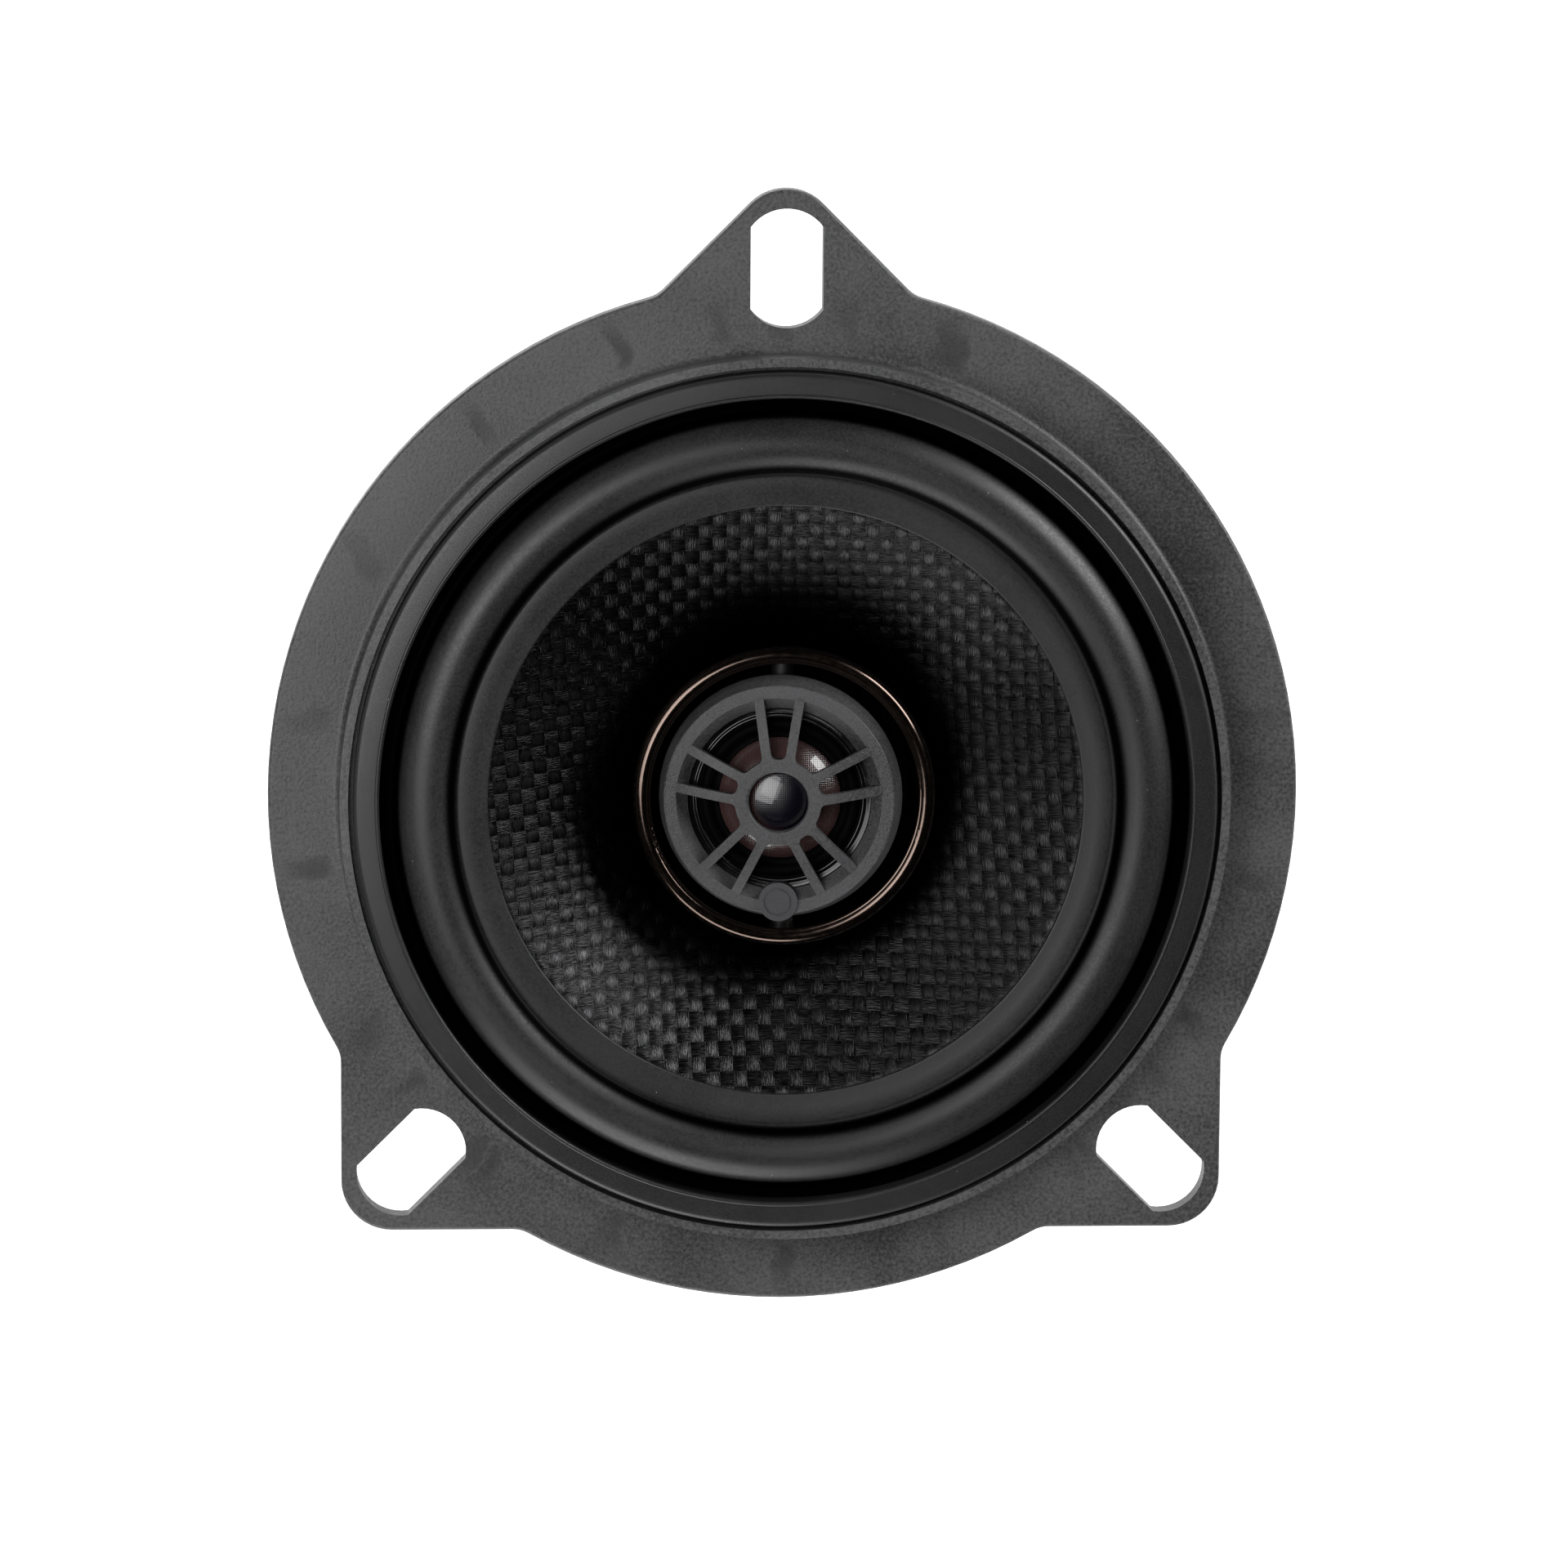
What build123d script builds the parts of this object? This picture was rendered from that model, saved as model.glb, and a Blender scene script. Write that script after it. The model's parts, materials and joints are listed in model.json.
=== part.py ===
from build123d import *
import math
import os

# A 100 mm coaxial car speaker on a moulded basket with three slotted ears.
# Millimetres. +Z is the sound axis, out of the front. z = 0 is the rear face of the flange, which
# lies on the door panel, and the origin is where the sound axis crosses it. The ear at +Y is the top.

# ---- flange and its three ears
FLANGE_R = 63.5                  # round edge of the flange
FLANGE_T = 3.0                   # its thickness, so the front face is at z = 3
SKIN_T = 1.8                     # plate left over the ribbed pockets on the back
FRONT_EDGE_R = 0.5               # rounding of the front edge
EAR_ANGLES = (90, 225, 315)
EAR_FLANK = 54.65                # distance from the sound axis to each straight ear flank
EAR_TIP_R = 6.3
EAR_ROOT_R = 4.0                 # hollow corner where a flank meets the round edge
SLOT_AT = 65.0                   # distance from the sound axis to a slot's centre
SLOT_LONG = 14.6
SLOT_WIDE = 8.9
SLOT_END_R = 5.5                 # the slot's ends are arcs wider than the slot
RIB_STEP = 20                    # degrees between the ribs behind the flange
RIB_T = 1.6
RIM_W = 1.6                      # full-thickness rim round the pockets
SEAL_R = 57.3                    # foam ring stuck on the back, clear of the slots
SEAL_IN_R = 52.9
SEAL_T = 1.5

# ---- basket
LIP_R = 54.65                    # outside of the collar round the gasket
LIP_IN_R = 53.6
LIP_Z = 9.0
LEDGE_Z = 6.3                    # the surround is glued here
LEDGE_IN_R = 48.4
SPIGOT_R = 50.0                  # drops into the door's cut-out
SPIGOT_Z = -6.0
WALL = 1.8
SHELF_Z = -13.5                  # the spider is glued here
SHELF_R = 34.5
CAN_IN_R = 30.2
CAN_R = 32.2
SEAT_TOP_Z = -19.0
SEAT_Z = -21.5                   # the motor bolts up against this face
SEAT_HOLE_R = 15.0
SCREWS_AT = 22.5                 # circle of the four screws that hold the motor
SCREW_R = 1.9
LEG_COUNT = 6
LEG_FIRST = 30                   # degrees
LEG_WIDE = 22                    # degrees of arc left between two windows
GUSSET_T = 2.2
TERMINAL_ANGLE = 270             # this leg has the terminal board instead of a gusset

# ---- cone, surround and spider
CONE_T = 0.72                    # its wall, measured along the sound axis
NECK_R = 12.9
NECK_Z = -9.1
CONE_RIM_R = 36.3                # the straight side ends here in a flatter rim for the glue
CONE_RIM_Z = 7.6
CONE_EDGE_R = 39.4
CONE_EDGE_Z = 8.3
FLAP_R = 36.5                    # inner edge of the surround's glue flap on the cone
RUBBER_T = 0.8
GASKET_R = 53.0
GASKET_IN_R = 49.8
GASKET_Z = 9.9

# ---- voice coil and magnet motor
FORMER_R = 12.9
FORMER_IN_R = 12.7
FORMER_TOP_Z = -8.6
FORMER_Z = -28.6
COIL_R = 13.35
PLATE_R = 32.0
PLATE_T = 4.0
GAP_R = 13.75
POLE_R = 12.25
MAGNET_R = 34.5
MAGNET_IN_R = 17.0
MAGNET_T = 12.0
BACK_T = 5.0
PLATE_Z = SEAT_Z - PLATE_T
MAGNET_Z = PLATE_Z - MAGNET_T
BACK_Z = MAGNET_Z - BACK_T       # rear face of the whole speaker
POLE_TOP_Z = -21.0
POLE_BORE_R = 3.0
RECESS_R = 6.5                   # pocket for the post's nut in the back face
RECESS_Z = BACK_Z + 4.0
CHANNEL_W = 3.4                  # groove that leads the tweeter's wires to the edge
CHANNEL_D = 2.0

# ---- tweeter: a pod that tips on two pins inside a cup, and the cup turns on a post
PIVOT_Z = -1.0
LEAN = -6.0                      # degrees about Y at rest: the pod faces slightly to -X
CUP_IN_R = 16.5
CUP_FLOOR_Z = -6.0
CUP_BASE_Z = -7.0
POST_R = 5.5
SPINDLE_R = 4.0
SPINDLE_TOP_Z = -5.0
RUNNING = 0.05                   # radial clearance of the turning fits
STEM_R = 2.8
STEM_BORE_R = 1.6
STEM_Z = BACK_Z + 2.3
PIN_R = 0.8
PIN_NEAR = 9.6                   # inner end of each tilt pin, from the sound axis
PIN_STEP = 13.3                  # the thin part runs in the pod, the thick part is fixed in the cup
PIN_FAR = 16.9
PIN_SHOULDER_R = 1.4
POT_R = 9.3                      # the tweeter's steel pot
POT_TOP_Z = 3.0
POT_Z = -4.0
POT_FLOOR_Z = -2.5
POLE_DISC_Z = 1.0                # between the tweeter's magnet and its pole disc
DOME_GAP_R = 7.75                # outside of the dome coil's gap
POD_WALL_R = 10.2
CLAMP_R = 11.3                   # seat for the dome's edge and the clamp ring
CLAMP_Z = 5.0                    # the grille sits on the pod and the clamp ring here
FACE_Z = 6.9                     # front face of the grille's rim
FACE_R = 14.1
POD_R = 15.0
RIM_R = 14.75                    # foot of the grille's rim, on the pod
HUB_HOLE_R = 3.65
HUB_R = 5.3
HUB_Z = 8.6
SPOKE_PAIRS = 5
SPOKE_W = 1.15
SPOKE_OFFSET = 0.62              # a spoke's centre line passes this far from the pod's axis
SPOKE_SPREAD = 2.72              # and is this far from its pair's axis at the rim
SPOKE_END_R = 12.75
GAP_END_R = 0.75
BADGE_AT = 12.6
BADGE_R = 2.4
DOME_R = 7.5
DOME_Z = 4.6
DOME_RISE = 3.1
DOME_T = 0.3
DOME_COIL_R = 7.3                # the coil is wound on the outside of its former

# ---- terminals and wiring
WIRE_R = 0.6
TAB_T = 0.8
BOARD_Y = -42.6                  # outer face of the terminal board
BOARD_Z = -18.2                  # its mid height
BOARD_T = 1.6
BOARD_WIDE = 25.0
BOARD_HIGH = 11.0
TAB_AT = 7.4                     # both tabs stand this far from the middle
RIVET_Z = -15.9
RIVET_R = 1.3
RIVET_TAIL = 0.7
TAB_TIP_Z = -32.0
TINSEL_AT = 10.4
CAP_R = 3.6
CAP_LONG = 13.0
CAP_ANGLE = -60
CAP_Z = -20.5


# ------------------------------------------------------------------ helpers
def section(start, *steps):
    """A closed face in the r-z half plane. A step is a point, or (through, point) for an arc."""
    edges, here = [], start
    for step in steps:
        if isinstance(step[0], tuple):
            edges.append(ThreePointArc(here, step[0], step[1]))
            here = step[1]
        else:
            edges.append(Line(here, step))
            here = step
    edges.append(Line(here, start))
    return Plane.XZ * make_face(edges)


def ring(start, *steps):
    return revolve(section(start, *steps), Axis.Z, 360)


def tube(outer, inner, low, high):
    """A plain ring; with no inner radius, a disc."""
    body = Pos(0, 0, low) * Cylinder(outer, high - low, align=(Align.CENTER, Align.CENTER, Align.MIN))
    if inner:
        body -= Pos(0, 0, low - 1) * Cylinder(
            inner, high - low + 2, align=(Align.CENTER, Align.CENTER, Align.MIN)
        )
    return body


def around(shape, angles):
    return [Rot(0, 0, a) * shape for a in angles]


def fuse(shapes):
    total = shapes[0]
    for s in shapes[1:]:
        total = total + s
    return total


def lean(shape):
    """Tips a piece of the pod to its stored position."""
    return Pos(0, 0, PIVOT_Z) * Rot(0, LEAN, 0) * Pos(0, 0, -PIVOT_Z) * shape


def polar(radius, angle, z):
    a = math.radians(angle)
    return (radius * math.cos(a), radius * math.sin(a), z)


def wire(points, radius=WIRE_R):
    """A round wire along straight runs joined by arcs as large as the runs allow."""
    places = [Vector(*p) for p in points]
    radii = []
    for before, here, after in zip(places, places[1:], places[2:]):
        into, out = here - before, after - here
        half = math.radians(into.get_angle(out)) / 2
        radii.append(0.45 * min(into.length, out.length) / math.tan(half))
    path = FilletPolyline(*places, radius=radii)
    start = Plane(origin=path @ 0, z_dir=path % 0)
    return sweep(start * Circle(radius), path=path)


# ------------------------------------------------------------------ basket
def ear_plan(angle):
    square = Rectangle(EAR_FLANK, EAR_FLANK, align=(Align.MIN, Align.MIN))
    tip = square.vertices().sort_by_distance((EAR_FLANK, EAR_FLANK, 0))[0]
    return Rot(0, 0, angle - 45) * fillet(tip, EAR_TIP_R)


def flange_plan():
    plan = Circle(FLANGE_R) + [ear_plan(a) for a in EAR_ANGLES]
    roots = [v for v in plan.vertices() if abs(math.hypot(v.X, v.Y) - FLANGE_R) < 0.01]
    return fillet(roots, EAR_ROOT_R)


def slot_plan(angle):
    long = Rectangle(SLOT_LONG, SLOT_WIDE)
    reach = SLOT_LONG / 2 - SLOT_END_R
    ends = Pos(-reach, 0) * Circle(SLOT_END_R) + Pos(reach, 0) * Circle(SLOT_END_R)
    ends += Rectangle(2 * reach, 2 * SLOT_END_R)
    return Rot(0, 0, angle) * Pos(SLOT_AT, 0) * (long & ends)


def flange():
    plate = extrude(flange_plan(), FLANGE_T)
    plate = fillet(plate.faces().sort_by(Axis.Z)[-1].edges(), FRONT_EDGE_R)
    plate -= tube(LIP_R - 1, 0, -1, FLANGE_T + 1)
    inner, outer = LIP_R + RIM_W, FLANGE_R - RIM_W
    pockets = tube(outer, inner, -1, FLANGE_T - SKIN_T)
    middle, width = (inner + outer) / 2, outer - inner + 2
    for angle in range(90, 450, RIB_STEP):
        pockets -= Rot(0, 0, angle) * Pos(middle, 0, 0) * Box(width, RIB_T, 2 * FLANGE_T)
    for angle in EAR_ANGLES:
        pockets -= Rot(0, 0, angle) * Pos(middle, 0, 0) * Box(width, SLOT_LONG + 4, 2 * FLANGE_T)
    plate -= pockets
    for angle in EAR_ANGLES:
        plate -= Pos(0, 0, -1) * extrude(slot_plan(angle), FLANGE_T + 2)
    return plate


def basket_shell():
    """Collar, ledge, spigot, sloping wall, spider shelf and motor seat, as one turned shape."""
    return ring(
        (LIP_IN_R, LIP_Z),
        (LIP_R, LIP_Z),
        (LIP_R, FLANGE_T + 0.8),
        ((LIP_R + 0.25, FLANGE_T + 0.25), (LIP_R + 0.8, FLANGE_T)),
        (LIP_R + 0.8, 0),
        (LIP_IN_R - 1.0, 0),
        (LIP_IN_R - 1.0, LEDGE_Z - WALL),
        (SPIGOT_R + 0.6, LEDGE_Z - WALL),
        (SPIGOT_R + 0.6, 0),
        (SPIGOT_R, 0),
        (SPIGOT_R, SPIGOT_Z),
        (SHELF_R + 2, SHELF_Z - WALL),
        (CAN_R, SHELF_Z - WALL - 0.6),
        (CAN_R, SEAT_Z),
        (SEAT_HOLE_R, SEAT_Z),
        (SEAT_HOLE_R, SEAT_TOP_Z),
        (CAN_IN_R, SEAT_TOP_Z),
        (CAN_IN_R, SHELF_Z),
        (SHELF_R, SHELF_Z),
        (SPIGOT_R - WALL, SPIGOT_Z + 0.6),
        (LEDGE_IN_R, LEDGE_Z - WALL),
        (LEDGE_IN_R, LEDGE_Z),
        (LIP_IN_R, LEDGE_Z),
    )


def window():
    """One opening between two legs, cut through the sloping wall but not through the shelf."""
    span = 360 / LEG_COUNT - LEG_WIDE
    top, low = SPIGOT_Z - 0.4, SHELF_Z - 4
    cut = Plane.XZ * make_face(
        Polyline(
            (SPIGOT_R + 4, top),
            (SPIGOT_R - 8, top),
            (SHELF_R - 1, SHELF_Z + 1.2),
            (SHELF_R + 3.2, low),
            (SPIGOT_R + 4, low),
            close=True,
        )
    )
    cut -= Plane.XZ * Pos(SHELF_R - 1.5, SHELF_Z - 1) * Rectangle(4.2, 8)
    return Rot(0, 0, -span / 2) * revolve(cut, Axis.Z, span)


def gusset():
    """The upright rib down the outside of a leg."""
    side = Plane.XZ * make_face(
        Polyline(
            (SPIGOT_R - 0.9, SPIGOT_Z),
            (SPIGOT_R - 0.1, SPIGOT_Z),
            (SPIGOT_R - 0.4, SPIGOT_Z - 2),
            (CAN_R + 4.2, SEAT_Z + 2.2),
            (CAN_R + 2.4, SEAT_Z + 0.1),
            (CAN_R - 0.8, SEAT_Z + 0.1),
            (CAN_R - 0.8, SHELF_Z - 2),
            (SHELF_R + 1, SHELF_Z - 1.1),
            close=True,
        )
    )
    return extrude(side, GUSSET_T / 2, both=True)


def collar_ribs():
    """Ribs bridging the hollow between the collar and the spigot."""
    near, far, high = SPIGOT_R + 0.3, LIP_IN_R - 0.7, LEDGE_Z - WALL
    rib = Pos((near + far) / 2, 0, high / 2) * Box(far - near, RIB_T, high)
    return around(rib, range(90, 450, RIB_STEP))


def terminal_pad():
    """A block on the bottom leg that carries the terminal board."""
    deep, high = abs(BOARD_Y) - BOARD_T - CAN_R + 1, 7.0
    return Pos(0, BOARD_Y + BOARD_T + deep / 2, SEAT_Z + high / 2) * Box(11, deep, high)


def screw_places():
    return [polar(SCREWS_AT, a, 0) for a in (45, 135, 225, 315)]


def basket():
    body = basket_shell()
    first = LEG_FIRST + 180 / LEG_COUNT
    step = 360 / LEG_COUNT
    for k in range(LEG_COUNT):
        body -= Rot(0, 0, first + k * step) * window()
    body = fuse([body, flange(), *collar_ribs()])
    legs = [LEG_FIRST + k * step for k in range(LEG_COUNT)]
    body = fuse([body, *around(gusset(), [a for a in legs if a != TERMINAL_ANGLE])])
    body += terminal_pad()
    body -= tube(SHELF_R - 4.3, 0, SEAT_TOP_Z, SHELF_Z + 8)
    for x, y, _ in screw_places():
        body -= Pos(x, y, 0) * tube(SCREW_R + 0.1, 0, SEAT_Z - 1, SEAT_TOP_Z + 1)
    return body


# ------------------------------------------------------------------ cone and suspension
def on_cone(r, lift=0.0):
    """A point on the front face of the cone, or above it: a straight side, then a flatter rim."""
    low, high = ((NECK_R, NECK_Z), (CONE_RIM_R, CONE_RIM_Z))
    if r > CONE_RIM_R:
        low, high = high, (CONE_EDGE_R, CONE_EDGE_Z)
    slope = (high[1] - low[1]) / (high[0] - low[0])
    return (r, low[1] + slope * (r - low[0]) + lift)


def cone():
    return ring(
        on_cone(NECK_R),
        on_cone(CONE_RIM_R),
        on_cone(CONE_EDGE_R),
        on_cone(CONE_EDGE_R, -CONE_T),
        on_cone(CONE_RIM_R, -CONE_T),
        on_cone(NECK_R + 0.6, -CONE_T),
        (NECK_R + 0.6, NECK_Z - 1.5),
        (NECK_R, NECK_Z - 1.5),
    )


def surround():
    foot_out, foot_in = (48.3, LEDGE_Z + RUBBER_T), on_cone(CONE_EDGE_R, 0.5)
    crest_r, crest_z = 44.2, 11.0
    low_in = (CONE_EDGE_R + 0.9, CONE_EDGE_Z - 0.3)
    return ring(
        (GASKET_R, LEDGE_Z),
        (GASKET_R, LEDGE_Z + RUBBER_T),
        foot_out,
        ((47.3, 9.5), (46.0, 10.6)),
        ((crest_r, crest_z), (42.4, 10.5)),
        ((41.4, 9.75), (40.9, foot_in[1] + 0.1)),
        foot_in,
        on_cone(FLAP_R, 0.4),
        on_cone(FLAP_R),
        on_cone(CONE_EDGE_R),
        low_in,
        (low_in[0] + 1.3, low_in[1]),
        ((42.2, 9.25), (43.0, 9.85)),
        ((crest_r, crest_z - RUBBER_T), (45.4, 9.9)),
        ((46.6, 9.0), (47.4, LEDGE_Z + 0.6)),
        (47.6, LEDGE_Z),
    )


def front_gasket_ring():
    return ring(
        (GASKET_IN_R, LEDGE_Z + RUBBER_T),
        (GASKET_R, LEDGE_Z + RUBBER_T),
        (GASKET_R, GASKET_Z - 0.7),
        ((GASKET_R - 0.2, GASKET_Z - 0.3), (GASKET_R - 0.8, GASKET_Z - 0.08)),
        (GASKET_IN_R + 0.3, GASKET_Z),
        ((GASKET_IN_R + 0.08, GASKET_Z - 0.08), (GASKET_IN_R, GASKET_Z - 0.3)),
    )


def spider():
    thick, top, rise, pitch = 0.4, SHELF_Z + 0.4, 0.85, 1.65
    inner, outer, flat = FORMER_R, SHELF_R - 0.3, CAN_IN_R
    waves = int((flat - inner - 0.6) // pitch)
    first = flat - waves * pitch
    upper, lower = [], []
    for k in range(waves):
        lift = rise if k % 2 else -rise
        a, m, b = first + k * pitch, first + (k + 0.5) * pitch, first + (k + 1) * pitch
        upper.append(((m, top + lift), (b, top)))
        lower.append(((m, top + lift - thick), (a, top - thick)))
    return ring(
        (inner, top - thick),
        (inner, top + 0.5),
        (inner + 0.4, top + 0.5),
        (first, top),
        *upper,
        (outer, top),
        (outer, top - thick),
        (flat, top - thick),
        *reversed(lower),
    )


def former_angle(side):
    return -90 + side * 24


def lead_pads():
    """Solder pads on the former where the tinsel leads end."""
    pads = []
    for side in (-1, 1):
        pad = Pos(FORMER_R + 0.3, 0, -11.5) * Box(0.9, 2.2, 1.5)
        pads.append(Rot(0, 0, former_angle(side)) * pad - tube(FORMER_R, 0, -14, -8))
    return Compound(pads)


def tinsel_lead(side):
    """A braided lead that hangs in a loop from the terminal board to the voice coil."""
    x, inside = side * TINSEL_AT, BOARD_Y + BOARD_T
    return wire(
        [
            (x, inside, -14.4),
            (x, inside + 2.4, -14.3),
            (side * 10.0, -36.6, -10.2),
            (side * 9.6, -32.0, -8.2),
            (side * 8.8, -26.5, -7.6),
            (side * 7.8, -21.0, -8.8),
            (side * 6.9, -16.6, -10.9),
            polar(FORMER_R + 1.5, former_angle(side), -11.3),
        ],
        0.45,
    )


# ------------------------------------------------------------------ motor
def broken(disc, size):
    """Chamfers the two outer edges of a disc or ring."""
    return chamfer(disc.edges().filter_by(GeomType.CIRCLE).group_by(SortBy.RADIUS)[-1], size)


def pole_yoke():
    body = broken(tube(PLATE_R, 0, BACK_Z, MAGNET_Z), 0.6)
    body += tube(POLE_R, 0, MAGNET_Z - 1, POLE_TOP_Z)
    body -= tube(POLE_BORE_R, 0, BACK_Z - 1, POLE_TOP_Z + 1)
    body -= tube(RECESS_R, 0, BACK_Z - 1, RECESS_Z)
    groove = Box(CHANNEL_W, PLATE_R + 2, 2 * CHANNEL_D)
    return body - Pos(0, -(PLATE_R + 2) / 2, BACK_Z) * groove


def plate_screws():
    low = PLATE_Z + 0.4
    one = tube(SCREW_R, 0, low, SEAT_TOP_Z) + tube(3.4, 0, SEAT_TOP_Z, SEAT_TOP_Z + 1.2)
    one -= Pos(0, 0, SEAT_TOP_Z + 1.2) * (Box(4.2, 0.8, 1.2) + Box(0.8, 4.2, 1.2))
    return Compound([Pos(*p) * one for p in screw_places()])


def top_plate():
    body = broken(tube(PLATE_R, GAP_R, PLATE_Z, SEAT_Z), 0.5)
    for x, y, _ in screw_places():
        body -= Pos(x, y, 0) * tube(SCREW_R, 0, PLATE_Z - 1, SEAT_Z + 1)
    return body


# ------------------------------------------------------------------ post and cup
def tweeter_post():
    shoulder = CUP_BASE_Z - RUNNING
    body = tube(POST_R, 0, POLE_TOP_Z, shoulder) + tube(8.5, 0, POLE_TOP_Z, POLE_TOP_Z + 1.6)
    body += tube(SPINDLE_R, 0, shoulder - 1, SPINDLE_TOP_Z)
    body += tube(STEM_R, 0, STEM_Z, POLE_TOP_Z + 1)
    return body - tube(STEM_BORE_R, 0, STEM_Z - 1, SPINDLE_TOP_Z + 1)


def post_nut():
    hexagon = Pos(0, 0, STEM_Z) * extrude(RegularPolygon(4.6, 6), RECESS_Z - STEM_Z)
    return hexagon - tube(STEM_R, 0, BACK_Z, RECESS_Z + 1)


def cup_retaining_ring():
    return tube(SPINDLE_R + 1.4, SPINDLE_R, CUP_FLOOR_Z + RUNNING, SPINDLE_TOP_Z)


def tweeter_cup():
    hole = SPINDLE_R + RUNNING
    body = ring(
        (hole, CUP_BASE_Z),
        (hole, CUP_FLOOR_Z),
        (11.2, CUP_FLOOR_Z),
        (11.2, -4.2),
        (14.6, -2.0),
        (CUP_IN_R, -0.5),
        (CUP_IN_R, 3.9),
        ((CUP_IN_R + 0.1, 4.2), (CUP_IN_R + 0.4, 4.35)),
        ((17.7, 4.6), (18.4, 4.05)),
        ((18.65, 3.4), (18.45, 2.6)),
        ((18.0, 1.2), (17.5, -0.6)),
        (15.5, -2.6),
        (12.1, -4.9),
        (12.0, CUP_BASE_Z),
    )
    return body - Pos(0, 0, PIVOT_Z) * Rot(90, 0, 0) * Cylinder(PIN_SHOULDER_R, 60)


def on_pin(side, radius, near, far):
    """A cylinder on the tilt axis, from one distance to another."""
    rod = Cylinder(radius, far - near, align=(Align.CENTER, Align.CENTER, Align.MIN))
    return Pos(0, 0, PIVOT_Z) * Rot(-90 * side, 0, 0) * Pos(0, 0, near) * rod


def tilt_pins():
    pins = []
    for side in (-1, 1):
        thick = on_pin(side, PIN_SHOULDER_R, PIN_STEP, PIN_FAR)
        pins.append(thick + on_pin(side, PIN_R, PIN_NEAR, PIN_STEP + 0.1))
    return Compound(pins)


def tilt_friction_rings():
    """Rubber rings between the pod's bosses and the thick part of the pins."""
    rings = []
    for side in (-1, 1):
        disc = on_pin(side, PIN_R + 0.8, PIN_STEP - 0.8, PIN_STEP)
        rings.append(disc - on_pin(side, PIN_R, PIN_NEAR, PIN_FAR))
    return Compound(rings)


# ------------------------------------------------------------------ pod
def pod_shell():
    body = ring(
        (POT_R, POT_Z),
        (POD_WALL_R, POT_Z),
        (POD_WALL_R, -0.8),
        (POD_WALL_R + 1.6, 0.2),
        (POD_R, 2.6),
        (POD_R, 3.6),
        (RIM_R, CLAMP_Z),
        (CLAMP_R, CLAMP_Z),
        (CLAMP_R, 4.2),
        (POT_R + 0.2, POT_TOP_Z),
        (POT_R, POT_TOP_Z),
    )
    for side in (-1, 1):
        boss = on_pin(side, PIN_R + 1.0, PIN_NEAR, PIN_STEP - 0.9)
        body += boss - tube(POD_WALL_R - 0.4, 0, -8, 8)
        body -= on_pin(side, PIN_R + RUNNING, PIN_NEAR - 0.6, PIN_STEP + 0.7)
    return lean(body)


def spoke_plan(side):
    """Centre line and width of half a pair: it opens out slowly from the pair's axis to the rim."""
    near, far = Vector(0, side * SPOKE_OFFSET), Vector(SPOKE_END_R + 1, side * SPOKE_SPREAD)
    turn = math.degrees(math.atan2(far.Y - near.Y, far.X - near.X))
    bar = Rectangle(2 * SPOKE_END_R, SPOKE_W, align=(Align.MIN, Align.CENTER))
    return Pos(near.X, near.Y) * Rot(0, 0, turn) * bar


def grille_gaps():
    """The openings between the spokes, rounded where they meet the hub."""
    plan = Circle(SPOKE_END_R + 1) - Circle(HUB_R)
    for k in range(SPOKE_PAIRS):
        for side in (-1, 1):
            plan -= Rot(0, 0, 90 + k * 360 / SPOKE_PAIRS) * spoke_plan(side)
    inner = [v for v in plan.vertices() if abs(math.hypot(v.X, v.Y) - HUB_R) < 0.01]
    return extrude(fillet(inner, GAP_END_R), 20, both=True)


def grille_rim():
    return ring(
        (CLAMP_R, CLAMP_Z),
        (RIM_R, CLAMP_Z),
        (FACE_R + 0.15, FACE_Z - 0.3),
        ((FACE_R + 0.1, FACE_Z - 0.07), (FACE_R - 0.15, FACE_Z)),
        (SPOKE_END_R - 0.1, FACE_Z),
        (CLAMP_R, CLAMP_Z + 0.7),
    )


def badge(grow=0.0):
    """The round insert at the foot of the rim."""
    return Pos(0, -BADGE_AT, 0) * tube(BADGE_R + grow, 0, FACE_Z - 1.3 - grow, FACE_Z + 0.45)


def tweeter_grille():
    web = ring(
        (HUB_HOLE_R, HUB_Z - 1.1),
        (HUB_HOLE_R, HUB_Z - 0.35),
        ((HUB_HOLE_R + 0.1, HUB_Z - 0.1), (HUB_HOLE_R + 0.35, HUB_Z)),
        (HUB_R - 0.4, HUB_Z),
        ((9.5, HUB_Z - 0.55), (SPOKE_END_R, FACE_Z + 0.1)),
        (SPOKE_END_R, FACE_Z - 1.3),
        ((9.5, HUB_Z - 1.75), (HUB_R - 0.4, HUB_Z - 1.2)),
    )
    body = (web - grille_gaps()) + grille_rim()
    return lean(body - badge())


def badge_disc():
    body = badge() - (Pos(0, -BADGE_AT, FACE_Z + 0.45) * tube(1.75, 1.5, -0.15, 1))
    return lean(body)


def dome_arc(drop=0.0):
    """Sphere centre height and radius of the dome's outer face, or of one that lies inside it."""
    radius = (DOME_R ** 2 + DOME_RISE ** 2) / (2 * DOME_RISE)
    centre = DOME_Z + DOME_RISE - radius
    return centre, radius - drop


def silk_dome():
    centre, outer = dome_arc()
    inner = outer - DOME_T

    def at(sphere, r):
        return (r, centre + math.sqrt(sphere * sphere - r * r))

    edge = at(outer, DOME_R)
    return lean(
        ring(
            (0, centre + outer),
            (at(outer, 4.0), edge),
            (DOME_R, edge[1] - DOME_T),
            at(inner, DOME_R - 0.2),
            (at(inner, 3.8), (0, centre + inner)),
        )
    )


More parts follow.
